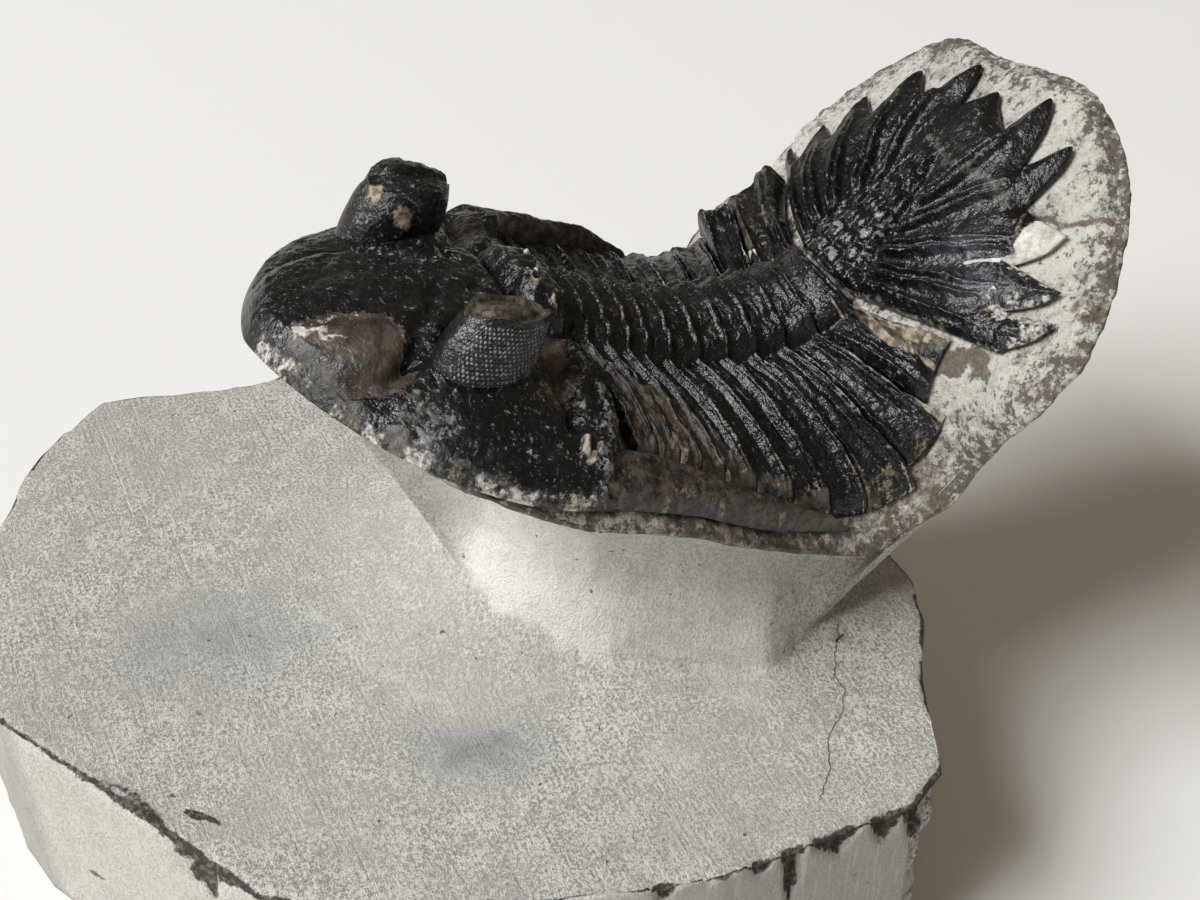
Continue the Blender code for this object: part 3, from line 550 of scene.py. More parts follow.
def flankHeight(along, out):
    # level beside the axis, then falling to the tips as the 1.8th power of the distance out
    furrow = smoothThrough(thorax["furrow"], along)
    tip = np.where(out < 0, smoothThrough(thorax["nearTip"], along), smoothThrough(thorax["farTip"], along))
    fall = np.clip((np.abs(out) - 5.0) / (thorax["reach"] - 5.0), 0, 1.6)
    return furrow - (furrow - tip) * (np.minimum(fall, 1) ** 1.8 + 0.55 * np.clip(fall - 1, 0, None))


def sweptShare(out):
    # 0 on the axis, 1 at the tips, by the 1.1th power
    return np.clip((np.abs(out) - thorax["axisHalfWidth"]) / 8.0, 0, 1.15) ** 1.1


def headInside(along, out):
    # 1 in the middle of the head and 0 on its margin: 1 - |out|^1.4 - ahead^2.4, both as shares
    ahead = np.clip((head["widest"] - along) / head["frontReach"], 0, None)
    return np.clip(1 - (np.abs(out) / head["halfWidth"]) ** 1.4 - ahead**2.4, 0, None)


def tailPlate(out):
    # an arch that falls by 0.0096 out squared and is nearly level beyond 15
    farOut = np.abs(out)
    return 4.75 - 0.0096 * np.minimum(farOut, 15.0) ** 2 - 0.12 * np.clip(farOut - 15.0, 0, None)


def rockHeight(along, out):
    # the rock under head, thorax and tail, blended from one to the next along the body
    under = 3.9 * headInside(along, out) ** 0.8 - 0.9 + 1.3 * easeStep(9, 13, out) * easeStep(10, 16, along)
    middle = np.minimum(flankHeight(along, out), smoothThrough(thorax["furrow"], along)) - 0.9 - body["gap"]
    rock = under + (middle - under) * easeStep(12, 20, along)
    return rock + (tailPlate(out) - 1.0 - rock) * easeStep(43, 52, along)


def headHeight(along, out):
    # the higher of domed cheek and glabella, less its furrows, plus the rear border
    farOut = np.abs(out)
    inside = np.clip(headInside(along, out), 0.0002, None)
    frontFar = easeStep(-1, 5, out) * easeStep(12, 8, along)
    cheek = head["cheek"] * inside**0.6 * (1 - 0.14 * frontFar)
    cheek = cheek + head["farLift"] * easeStep(8, 12.5, out) * easeStep(12, 18, along)
    halfWidth = smoothThrough(head["lobeWidth"], along)
    halfWidth = halfWidth * (1 - (1 - head["farLobe"]) * easeStep(0, 2.5, out) * easeStep(12, 8, along))
    across = np.clip(1 - (farOut / halfWidth) ** 2.1, 0, None) ** 0.6
    crown = smoothThrough(head["lobeHeight"], along) * np.minimum(1, (inside / 0.10) ** 0.5)
    height = cheek - 0.6 * bell(farOut - halfWidth, 0.9) * easeStep(1.5, 5, along)
    height = height + np.clip(crown - height, 0, None) * across
    beforeRear = smoothThrough(head["rear"], out) - along
    height = height - 0.7 * bell(beforeRear - 3.2, 0.55) * easeStep(13, 12, farOut)
    height = height + 0.45 * bell(beforeRear - 1.4, 0.8) * easeStep(0, 1.5, farOut - halfWidth)
    # three pairs of furrows cut the glabella's flanks into lobes, the first one wide and deep
    for start, slant, depth, width in head["furrows"]:
        along0 = along - start - slant * (farOut - 0.8) - 0.25 * np.sin(2.3 * farOut)
        cut = easeStep(0.3, 1.8, farOut) * easeStep(1.4, 0.2, farOut - halfWidth)
        height = height - depth * bell(along0, width) * cut
    # a low swelling carries each eye
    for eye in (nearEye, farEye):
        fromEye = np.hypot((along - eye["along"]) / (eye["halfLength"] * 1.12), (out - eye["out"]) / 3.3)
        height = height + 0.45 * easeStep(1.25, 0.75, fromEye)
    # a knob on the far rear border
    return height + 0.9 * spotMask(along, out, head["knob"], (0.8, 1.3))


def buildHead():
    # rows from the front margin to the rear edge over the top, then back underneath, for each place across
    u = np.linspace(-1, 1, head["columns"])
    out = head["halfWidth"] * (0.62 * u + 0.38 * np.sin(u * np.pi / 2))
    ahead = np.clip(1 - (np.abs(out) / head["halfWidth"]) ** 1.4, 0, None) ** (1 / 2.4)
    front = head["widest"] - head["frontReach"] * ahead
    rear = smoothThrough(head["rear"], out) - 0.05
    share = np.linspace(0, 1, head["rows"])[:, None] ** 1.35
    along = front + (rear - front) * share
    across = np.broadcast_to(out, along.shape)
    skin = onSkin(along, across)
    floor = rockHeight(along, across) + body["gap"]
    top = headHeight(along, across)
    rough = roughNoise(skin, 1.6, 5, 4)
    crisp = roughNoise(skin, 0.7, 6)
    a = along + 0.40 * roughNoise(skin, 1.3, 7, 4, 0.65)
    o = across + 0.40 * roughNoise(skin, 1.3, 8, 4, 0.65)
    # broken patch on the near side of the frontal lobe, where the outer shell has flaked off in steps
    patch = insideShape(a, o, head["patch"], 0.10)
    bare = insideShape(a, o, head["bareStone"], 0.10)
    oliveCheek = insideShape(a, o, head["oliveCheek"], 0.5)
    steps = np.round(roughNoise(skin, 1.9, 9, 3, 0.55) * 2.6) / 2.6
    top = top - patch * (0.16 + 0.07 * steps * (1 - bare))
    top = top - 0.12 * oliveCheek * np.round(rough * 2.2) / 2.2
    # calcite veins stand a little proud and crumble
    crumble = np.clip(0.75 + 1.1 * crisp, 0, 2)
    vein = streak(a, o, head["vein"], 0.34) * crumble
    foot = streak(a, o, head["veinFoot"], 0.40) * np.clip(crumble, 0.5, 2)
    lowerVein = streak(a, o, head["lowerVein"], 0.30) * crumble
    top = top + 0.26 * vein + 0.42 * foot + 0.34 * lowerVein
    whiteStreak = streak(a, o, head["whiteStreak"], 0.13)
    # hollow behind the near eye, the rough rear border, and the shell's own unevenness
    hollow = insideShape(a, o, head["hollow"], 0.35)
    tanPatch = insideShape(a, o, head["tanPatch"], 0.20)
    border = np.exp(-(((rear - along) - 1.0) ** 2) / 0.9) * easeStep(5, 7, -across)
    top = top - 0.32 * hollow - 0.15 * tanPatch + 0.30 * border * crisp
    rugged = (1 - 0.6 * spotMask(along, across, (6.0, 0.0), (4.5, 3.5))) * (1 - 0.85 * patch)
    top = top + 0.08 * roughNoise(skin, 2.4, 3, 3, 0.5) + 0.035 * roughNoise(skin, 0.45, 4, 2, 0.6)
    top = top - 0.16 * rugged * np.abs(roughNoise(skin, 1.5, 12, 4)) + 0.05
    lift = easeStep(0, 0.5, headInside(along, across) * 8) * easeStep(-0.05, 0.5, rear - along)
    top = np.maximum(top, floor + 0.45 * lift)
    edge = np.minimum(share * 60, 1) * np.minimum((1 - np.abs(u)) * 90, 1)
    top = floor + (top - floor) * edge**0.5
    rows = np.concatenate([along, along[::-1][np.linspace(0, head["rows"] - 1, head["underRows"]).astype(int)]])
    sides = np.broadcast_to(out, rows.shape)
    under = rockHeight(rows[head["rows"]:], sides[head["rows"]:]) + body["gap"]
    points = placeBody(rows, sides, np.concatenate([top, under]))
    # rock clings along the near margin
    fromMargin = pathDistance(along, across, np.stack([front, out], -1)[:: 6])
    strip = easeStep(0.75, 0.30, fromMargin + 0.30 * rough) * easeStep(0.5, -1.5, across)
    paleLine = easeStep(0.42, 0.15, fromMargin + 0.15 * rough) * easeStep(1.5, -1.0, across)
    paleLine = paleLine * easeStep(19, 15, along)
    marks = {
        "taupe": patch,
        "brown": 0.85 * hollow + 0.52 * tanPatch + 0.25 * strip
        + 0.42 * spotMask(along, across, (13.5, 8.5), (4, 3)),
        "olive": 0.42 * oliveCheek + 0.24 * patch * easeStep(3.6, 1.6, along) + 0.40 * strip
        + 0.40 * spotMask(along, across, (17.3, 9.5), (2.0, 3.0)) + 0.35 * vein,
        "tan": 0.50 * tanPatch * easeStep(-0.3, 0.3, rough) + 0.62 * foot + 0.55 * lowerVein + 0.10 * strip
        + 0.40 * spotMask(along, across, (6.6, -9.8), (0.35, 0.35)) + 0.22 * paleLine,
        "chalkAndGlint": 0.50 * vein + 0.40 * whiteStreak + 0.52 * paleLine * easeStep(-1.0, 0.3, rough)
        + 0.23 * patch * easeStep(4.4, 1.8, along)
        + 0.40 * streak(a, o, head["greyStreak"], 0.25) + 0.34 * streak(a, o, head["speckLine"], 0.45)
        + 0.40 * spotMask(along, across, (14.0, -10.6), (0.5, 1.3), 20)
        + 0.25 * tanPatch * easeStep(0.1, 0.5, crisp),
        "wearAndGlint": 0.03 + 0.34 * border + 0.13 * easeStep(0.1, 0.5, rough) + 0.03 * patch
        + 0.22 * easeStep(0.25, 0.6, crisp) * rugged
        + 0.40 * spotMask(along, across, (6.4, -11.5), (1.6, 1.2), 30),
        "blueAndSheen": 0.5 * spotMask(along, across, (6.4, -11.4), (1.8, 1.2), 30)
        + 0.3 * border * easeStep(0, 0.5, rough),
        "dull": 0.15 + 0.5 * patch * (1 - 0.6 * bare) + 0.25 * easeStep(10, 14, -across) + 0.6 * strip,
    }
    marks = padMarks(marks, along.shape, rows=(0, head["underRows"]))
    quads = gridQuads(*points.shape[:2], wrapRows=True)
    makePiece("headShield", points, quads, marks, shell, "cephalon")


def buildEye(name, eye):
    # rings round the eye: up a wall that bulges and leans in, over its rim and in to the middle of the top.
    # Lenses are domes sqrt(1 - d*d) round the points of a hexagonal lattice on the outward half of the wall; an
    # eye without them is lumpier
    around = np.linspace(0, 2 * np.pi, eyeRings["columns"], endpoint=False)
    q = np.linspace(0, 1, eyeRings["wall"])[:, None]
    c = np.linspace(0, 1, eyeRings["cap"] + 1)[1:, None]

    def upAndOver(onWall, onCap):
        # one value for each ring, first up the wall and then over the cap
        return np.concatenate([onWall + 0 * q, onCap + 0 * c])

    sign = math.copysign(1, eye["out"])
    lean = 1.02 - (1.02 - eye["topShare"]) * q**1.5 + 0.05 * np.sin(np.pi * q)
    radius = upAndOver(lean, eye["topShare"] * (1 - c)) + 0 * around
    shift = eye["topShift"] * upAndOver(q**1.2, 1)
    x = radius * np.cos(around) * eye["halfLength"] + shift
    y = radius * np.sin(around) * eye["halfWidth"] * sign
    along, out = eye["along"] + x, eye["out"] + y
    outward = easeStep(-0.10, 0.25, np.sin(around))
    rimTop = eye["top"] - eye["frontDrop"] * easeStep(0, eye["halfLength"], -x)
    rimTop = rimTop + eye["rearRise"] * easeStep(0, 3, x)
    base = headHeight(along, out) - 1.0
    rise = upAndOver(q**0.92, 1)
    soft = eye["cap"] * upAndOver(-0.45 * easeStep(0.6, 1, q), 0.55 * np.sin(c * np.pi / 2) - 0.45)
    height = base + (rimTop - 0.12 + soft - 0.35 * (1 - outward) - base) * rise
    # a groove inside the rim of the top
    height = height - 0.26 * upAndOver(0, bell(c - 0.25, 0.13)) * eye["lenses"]
    u = around / (2 * np.pi) * lens["columns"]
    v = upAndOver(q, 1.2) * lens["rows"]
    best = np.full(radius.shape, 9.0)
    for half in (0.0, 0.5):
        du = (u - half) - np.round(u - half)
        dv = (v - half) - np.round(v - half)
        best = np.minimum(best, np.hypot(du * lens["across"], dv * lens["up"]))
    dome = np.sqrt(np.clip(1 - (best / lens["radius"]) ** 2, 0, None))
    band = easeStep(0.13, 0.20, v / lens["rows"]) * easeStep(0.95, 0.90, v / lens["rows"]) * eye["lenses"]
    band = band * outward * easeStep(-0.90, -0.70, np.cos(around)) * easeStep(0.95, 0.80, np.cos(around))
    bulge = lens["rise"] * dome * band
    out = out + bulge * np.sin(around) * sign
    along = along + bulge * np.cos(around)
    skin = onSkin(along, out + height)
    uneven = roughNoise(skin, 1.4, eye["seed"], 4)
    lumps = roughNoise(skin, 2.6, eye["seed"] + 3, 3, 0.55) * (not eye["lenses"])
    height = height + (0.10 * uneven + 0.16 * lumps) * (1 - band) * rise
    out = out + 0.22 * lumps * rise * np.sin(around) * sign
    ring = placeBody(along, out, height)
    middle = shrunk(ring[:1])
    points = np.concatenate([middle, (ring[:1] + middle) / 2, ring])
    onTop = upAndOver(0, 1) + 0 * radius
    mottled = (1 - band) * easeStep(-0.2, 0.5, uneven)
    # painted reflection: a bluish sheen on the front of the eye's wall
    frontSheen = bell(np.cos(around) + 0.95, 0.22) * outward * (1 - onTop)
    if eye["lenses"]:
        marks = {
            "brown": 0.60 * onTop + 0.12 * mottled, "tan": 0.10 * onTop,
            # painted highlights: a pale glint on the top of each lens
            "wearAndGlint": 0.75 * band * dome**3 + 0.14 * frontSheen + 0.20 * onTop * easeStep(0.1, 0.5, uneven),
            "blueAndSheen": 0.30 * frontSheen + 0.08 * band, "dull": 0.18 + 0.45 * onTop,
        }
    else:
        below = height - eye["top"]
        spots = 0.85 * spotMask(x, below, (-0.6, -2.6), (0.75, 0.9))
        spots = spots + 0.90 * spotMask(x, below, (-2.5, -1.6), (0.7, 1.0))
        marks = {
            "brown": 0.30 * easeStep(-0.2, -0.6, np.cos(around)) * easeStep(0.3, 0.7, rise),
            "olive": 0.16 + 0.16 * mottled, "tan": spots * easeStep(0.2, -0.3, np.sin(around)),
            "chalkAndGlint": 0.16 * mottled, "wearAndGlint": 0.08 + 0.12 * mottled, "dull": 0.4,
        }
    marks = padMarks(marks, radius.shape, rows=(2, 0))
    quads = gridQuads(*points.shape[:2], wrapColumns=True)
    makePiece(name, points, quads, marks, shell, "cephalon")


def innerSpineEdge(along, side, end):
    # how far out the spine's inner edge is: from notch to tip by the 1.1th power of the share of its length
    start = float(smoothThrough(head["rear"], side * spines["notch"]))
    share = np.clip((along - start) / (end - start), 0, 1)
    return spines["notch"] + (spines["tipOut"] - spines["notch"]) * share**1.1


def buildSpine(name, side, end):
    # lens-shaped sections from inside the cheek's corner to the tip; the inner edge swings out to the tip
    start = float(smoothThrough(head["rear"], side * spines["notch"]))
    share = np.linspace(-spines["root"], 1, spines["rows"])[:, None]
    along = start + (end - start) * share
    ahead = np.clip(share, 0, 1)
    buried = easeStep(0, spines["root"], -share)
    inner = innerSpineEdge(along, side, end) + 1.2 * buried
    outer = head["halfWidth"] - (head["halfWidth"] - spines["tipOut"]) * easeStep(0.55, 1, ahead) - 0.02
    outer = outer - 0.8 * buried
    t = np.linspace(0, 2 * np.pi, spines["columns"], endpoint=False)
    middle, half = (inner + outer) / 2, (outer - inner) / 2
    across = middle + half * np.cos(t)
    floor = rockHeight(along, side * across) + body["gap"]
    lift = 0.0 if side < 0 else 0.8
    crest = 0.5 + (1.3 - 0.6 * easeStep(30, 36, along)) + lift * easeStep(36.5, 32, along)
    crest = crest * (1 - easeStep(0.9, 1.0, ahead) * 0.8) * (1 - 0.5 * easeStep(0.02, 0.16, -share))
    skin = onSkin(along, across)
    uneven = roughNoise(skin * [0.5, 1, 1], 1.2, 41 + side, 4)
    # the far tip is broken off in splinters
    crest = crest * (1 - (0.5 * easeStep(0.80, 0.97, ahead + 0.10 * uneven) if side > 0 else 0))
    rounded = np.sign(np.sin(t)) * np.abs(np.sin(t)) ** (0.75 if side < 0 else 0.9)
    height = floor + crest * np.clip(rounded, 0, 1) + 0.25 * np.clip(rounded, -1, 0)
    height = np.maximum(height, rockHeight(along, side * across) + 0.12)
    height = height + 0.14 * uneven * np.clip(np.sin(t), 0, 1)
    points = placeBody(along, side * across, height)
    points = np.concatenate([shrunk(points[:1]), points, shrunk(points[-1:])])
    innerFace = easeStep(0.1, 0.9, -np.cos(t)) + 0 * along
    outerFace = easeStep(0.3, 0.95, np.cos(t)) + 0 * along
    if side < 0:
        marks = {
            "brown": 0.52 + 0.35 * innerFace * easeStep(0.05, 0.3, ahead) + 0.2 * easeStep(0.7, 1, ahead),
            "olive": 0.30 * outerFace,
            "tan": 0.20 * innerFace * easeStep(-0.1, 0.4, uneven) * easeStep(0.2, 0.5, ahead)
            + 0.50 * outerFace * easeStep(0.25, 0.5, uneven),
            "wearAndGlint": 0.16 + 0.15 * easeStep(0.3, 1, np.sin(t)), "dull": 0.35,
        }
    else:
        marks = {
            "brown": 0.22 + 0.42 * innerFace, "olive": 0.34 * innerFace * easeStep(0.5, 1, ahead),
            "tan": 0.25 * innerFace * easeStep(0.1, 0.6, uneven) * easeStep(0.4, 0.9, ahead),
            "wearAndGlint": 0.12, "dull": 0.3,
        }
    marks = padMarks(marks, across.shape, rows=(1, 1), mode="edge")
    quads = gridQuads(*points.shape[:2], wrapColumns=True)
    makePiece(name, points, quads, marks, shell, "cephalon")


def buildSegment(index):
    # a closed section carried across the body: up the front, over ring or pleura, down the rear, back below
    start = thorax["edges"][index] + 0.07
    end = thorax["edges"][index + 1] - 0.03
    reach = {}
    for side, spineEnd in ((-1, spines["nearEnd"]), (1, spines["farEnd"])):
        tipFront = start + float(smoothThrough(thorax["sweep"], start) * sweptShare(spines["notch"]))
        covered = float(innerSpineEdge(tipFront, side, spineEnd)) - 0.25
        reach[side] = thorax["reach"] if tipFront > spineEnd - 1.5 else min(covered, thorax["reach"])
    if index > 8:
        reach[-1] = thorax["buried"][index - 9]
    u = np.linspace(-1, 1, thorax["columns"])
    u = 0.72 * u + 0.28 * np.sin(u * np.pi / 2)
    out = np.where(u < 0, u * reach[-1], u * reach[1])
    farOut = np.abs(out)
    # for each row its share of the way from front to rear, and its level: 0 below and 1 on top
    top = np.linspace(0, 1, thorax["topRows"])
    share = np.concatenate([[0, 0, 0], top, [1, 1, 1], [0.75, 0.5, 0.25]])[:, None]
    level = np.concatenate([[0, 0.4, 0.8], np.ones(len(top)), [0.8, 0.4, 0], [0, 0, 0]])[:, None]
    # edges a little ragged, the same for a segment's rear as for the next one's front
    ragged = [0.05 * roughNoise(onSkin(7.0 * (index + step) + 0 * out, out), 1.1, 71, 4, 0.65) for step in (0, 1)]
    front = start + smoothThrough(thorax["sweep"], start) * sweptShare(out) + ragged[0]
    back = end + smoothThrough(thorax["sweep"], end) * sweptShare(out) + ragged[1]
    width = back - front
    along = front + share * width
    middle = (front + back) / 2
    skinHeight = flankHeight(middle, out)
    lobe = np.clip(1 - (farOut / thorax["axisHalfWidth"]) ** 2, 0, 1) ** 0.6
    crest = skinHeight + (body["crest"] - skinHeight) * lobe
    onSide = easeStep(3.9, 5.2, farOut)
    skin = onSkin(along, out + 0 * along)
    slow = roughNoise(skin, 3.0, 80, 3, 0.55)
    wander = roughNoise(skin * [1.0, 0.3, 1], 1.6, 85 + index)
    bend = share + 0.05 * wander * easeStep(0, 0.2, share) * easeStep(1, 0.8, share)
    ring = smoothThrough(thorax["ring"], bend)
    pleura = smoothThrough(thorax["pleura"], bend)
    flat = easeStep(11.0, 14.2, farOut)
    strength = 1 + 0.35 * easeStep(36, 41, along)
    relief = ring + (pleura * (1 - 0.55 * flat) * strength - ring) * onSide
    # a knob on each flank of the ring, set off by a shallow groove
    knob = bell(farOut - 3.75, 0.55) - 0.8 * bell(farOut - 2.8, 0.35)
    relief = relief + 0.22 * knob * easeStep(0.15, 0.5, share)
    floor = rockHeight(along, out + 0 * along) + body["gap"]
    uneven = roughNoise(skin * [1.0, 0.45, 1], 0.9, 60 + index)
    crisp = roughNoise(skin, 0.5, 66)
    a = along + 0.5 * roughNoise(skin, 1.5, 67)
    o = out + 0.5 * roughNoise(skin, 1.5, 68)
    # fine ridges that run along the pleurae
    run = np.stack([(share + 0.05 * slow) * 2.6, 0.13 * out + 0 * along, 0 * along + 9.0 * index], -1)
    strands = roughNoise(run, 0.62, 75)
    crust = insideShape(a, o, thorax["crust"], 0.9)
    redLine = streak(a, o, thorax["redLine"], 0.5)
    relief = relief * (1 - 0.45 * crust) + 0.16 * crust * uneven + 0.12 * redLine * crisp
    relief = relief + 0.11 * strands * (0.35 + 0.65 * onSide)
    topHeight = np.maximum(crest + relief, floor + 0.22) + 0.06 * uneven + 0.09 * slow * onSide + 0.035 * crisp
    # the last two tips on the near side slope down into the rock
    tipRound = np.minimum((1 - np.abs(u)) * np.where((u < 0) & (index > 8), 9, 26), 1) ** 0.5
    height = floor + (topHeight - floor) * level * tipRound
    points = placeBody(along, out + 0 * along, height)
    low = points.mean(0, keepdims=True)
    points = np.concatenate([low[:, :1] + 0 * points[:, :1], points, low[:, -1:] + 0 * points[:, -1:]], 1)
    # painted highlights: thin bright lines along each ring's rear rim and along the pleural ridges
    ridges = 0.8 * bell(bend - 0.79, 0.018) + 0.7 * bell(bend - 0.12, 0.018)
    ridgeHighlight = bell(bend - 0.91, 0.022) + ridges * onSide
    near = easeStep(0, 1, -out)
    # bands of pale rock across the last two segments, ragged and breaking up into dark patches
    band = 0.0 * along
    if index == 10:
        band = easeStep(0.50, 0.68, share + 0.10 * slow + 0.08 * uneven) * easeStep(3.6, 5.4, -out + 0.7 * uneven)
        band = band + 0.5 * easeStep(0.50, 0.66, share) * easeStep(6, 8, out)
    if index == 9:
        band = 0.8 * easeStep(0.82, 0.93, share + 0.05 * slow) * easeStep(3.2, 4.6, -out)
    if index >= 8:
        band = band + 0.50 * easeStep(12.0, 14.4, farOut + 0.9 * uneven) * near
    fold = streak(a, o, thorax["fold"], 0.8)
    pale = spotMask(a, o, thorax["palePatch"], (1.5, 0.8), 10)
    marks = {
        "brown": 0.55 * crust + 0.50 * redLine + 0.50 * fold + 0.60 * band + 0.14 * easeStep(0.1, 0.6, slow),
        "olive": 0.25 * band + 0.20 * easeStep(0.2, 0.7, -slow) * onSide + 0.25 * fold,
        "tan": 0.26 * crust * easeStep(0.1, 0.6, uneven) + 0.80 * band * easeStep(-0.9, 0.2, uneven) + 0.22 * fold
        + 0.30 * redLine * easeStep(0, 0.5, crisp),
        "chalkAndGlint": 0.75 * pale * easeStep(-0.5, 0.1, crisp) + 0.20 * band * easeStep(0, 0.5, uneven)
        # chalk: real pale patches and bands, plus painted highlights on the ridges; wear: painted highlights on the
        # ridges and along the fine strands
        + 0.42 * ridgeHighlight * easeStep(0.0, 0.4, slow + 0.5 * crisp) * (1 - crust),
        "wearAndGlint": 0.03 + 0.36 * ridgeHighlight * easeStep(0.05, 0.55, 0.42 + 0.6 * slow + 0.3 * crisp) * (1 - 0.7 * crust)
        + 0.20 * easeStep(0.15, 0.6, strands) * onSide * (1 - 0.6 * crust),
        "blueAndSheen": 0.22 * easeStep(38, 42, along) * easeStep(0.2, 0.7, slow),
        "dull": 0.05 + 0.40 * crust + 0.25 * band,
    }
    marks = padMarks(marks, along.shape, columns=(1, 1), mode="edge")
    quads = gridQuads(*points.shape[:2], wrapRows=True)
    node = "thorax_segment_%02d" % (index + 1)
    makePiece("segment%02d" % (index + 1), points, quads, marks, shell, node)


# Tail shield, distances counted back from its front edge
tail = {
    "from": 46.5, "axisLength": 11.5, "axisRelief": 1.45, "rings": 7.35, "beadGaps": (0, 0.44, 0.78),
    "nearSpines": [(7.9, 17.3), (9.6, 15.8), (12.6, 13.2), (17.2, 8.6), (19.0, 4.3)],
    "nearNotches": [(6.4, 13.8), (9.0, 11.9), (12.2, 9.3), (14.2, 6.9), (15.5, 3.2)],
    "farSpines": [(5.6, 17.0), (8.6, 15.7), (12.2, 13.4), (15.9, 9.3), (18.4, 3.7)],
    "farNotches": [(5.1, 14.1), (8.2, 12.7), (11.1, 10.0), (13.9, 6.0), (15.3, 2.2)],
    "corner": (4.2, 15.6), "middleSpine": 17.4, "columns": 700, "rows": 130,
    # each rib bends from its start at the axis, past a point on the flank, towards its spine
    "ribs": [((0.9, 3.9), (2.4, 8.5), (4.2, 13.6)), ((2.4, 3.5), (4.0, 8.2), (7.0, 13.0)),
             ((3.8, 3.2), (6.0, 6.8), (9.6, 10.6)), ((5.7, 2.8), (8.6, 5.4), (12.6, 7.6)),
             ((7.7, 2.4), (10.6, 3.9), (14.6, 4.6))],
    "olive": [(12.4, 1.2), (11.6, -1.7), (12.0, -4.2), (12.2, -6.8), (11.5, -8.6)],
    "vein": [(14.2, -7.2), (12.5, -9.3), (11.5, -10.1), (9.6, -11.4), (6.4, -13.4), (4.3, -13.4)],
    "sliver": [(7.0, -9.7), (9.1, -11.8)],
    "impression": [(10.2, -11.3), (11.9, -10.9), (14.2, -13.4), (12.8, -15.0), (10.6, -13.9), (9.2, -12.2)],
    "blues": [(7.9, -9.0), (6.4, -11.6)], "shelf": [(12.8, 2.8), (10.8, 5.2), (9.4, 7.2)],
}


def tailSide(tips, notches, sign):
    # from the front corner: a shoulder, the tip, a point on the way back, and the notch, for each spine
    points = [tail["corner"]]
    for (tipBack, tipOut), (notchBack, notchOut) in zip(tips, notches):
        lastBack, lastOut = points[-1]
        points.append((lastBack * 0.42 + tipBack * 0.58 + 0.15, lastOut * 0.42 + tipOut * 0.58 + 0.45))
        points.append((tipBack, tipOut))
        points.append((tipBack * 0.55 + notchBack * 0.45 - 0.1, tipOut * 0.55 + notchOut * 0.45 - 0.2))
        points.append((notchBack, notchOut))
    return [(back, out * sign) for back, out in points]


def tailMargin():
    # the margin's points joined by monotone cubics over the length of their chords
    middle = tail["middleSpine"]
    points = tailSide(tail["farSpines"], tail["farNotches"], 1)
    points = points + [(middle - 0.9, 1.0), (middle, 0.0), (middle - 0.9, -1.2)]
    points = np.array(points + tailSide(tail["nearSpines"], tail["nearNotches"], -1)[::-1])
    length = np.concatenate([[0], np.cumsum(np.linalg.norm(np.diff(points, axis=0), axis=1))])
    at = np.linspace(0, length[-1], tail["columns"])
    return np.stack([smoothThrough(list(zip(length, points[:, k])), at) for k in range(2)], -1)


def bentPath(start, bend, end):
    # (1-t)^2 start + 2 t (1-t) bend + t^2 end, in six steps
    t = np.linspace(0, 1, 7)[:, None]
    return (1 - t)**2 * np.array(start) + 2 * t * (1 - t) * np.array(bend) + t**2 * np.array(end)


def tailRibs(back, out):
    # a ridge along each rib, cut in two by a fine furrow, fading towards the spines
    farOut = np.abs(out)
    total = 0 * farOut
    for start, bend, end in tail["ribs"]:
        path = bentPath(start, bend, end)
        away = pathDistance(back, farOut, path)
        fromStart = np.hypot(back - start[0], farOut - start[1])
        half = 0.40 + 0.050 * fromStart
        ridge = 0.55 * bell(away, half) + 0.65 * bell(away - 0.36, 0.17) * easeStep(0.3, 1.5, fromStart)
        ends = easeStep(11.5, 5.0, fromStart) * easeStep(-0.2, 0.5, farOut - start[1] + 0.4)
        total = np.maximum(total, ridge * ends)
    return total


def tailHeight(back, out):
    # arched plate + tapering axis with rings of beads + ribs that fan out from it
    farOut = np.abs(out)
    plate = tailPlate(out) + 0.35 * bell(np.hypot(back - 5, farOut - 6), 4.5)
    axisShare = np.clip(back / tail["axisLength"], 0, 1)
    halfWidth = 4.2 - 3.2 * axisShare
    ended = easeStep(0.9, 1.1, back / tail["axisLength"])
    lobe = np.clip(1 - (farOut / halfWidth) ** 2, 0, 1) ** 0.7 * (1 - ended)
    # each ring breaks into three beads a side, the outer ones set back
    across = farOut / halfWidth
    phase = tail["rings"] * back / tail["axisLength"] - 0.30 * across**2 + 0.40 * (across > tail["beadGaps"][1])
    ring = (0.5 + 0.5 * np.cos(2 * np.pi * phase)) ** 0.45
    gaps = sum(bell(across - place, 0.05) for place in tail["beadGaps"])
    beads = ring * (1 - 0.85 * np.clip(gaps, 0, 1)) * (1 - ended) * easeStep(1.06, 0.98, across)
    ribs = tailRibs(back, out)
    groove = 0.55 * bell(farOut - halfWidth, 0.30) * easeStep(1.1, 0.95, back / tail["axisLength"])
    raised = (tail["axisRelief"] * (1 - 0.45 * axisShare) - 0.42) * lobe
    return plate + 0.75 * ribs - 0.12 - groove + raised + 0.44 * beads, beads, ribs


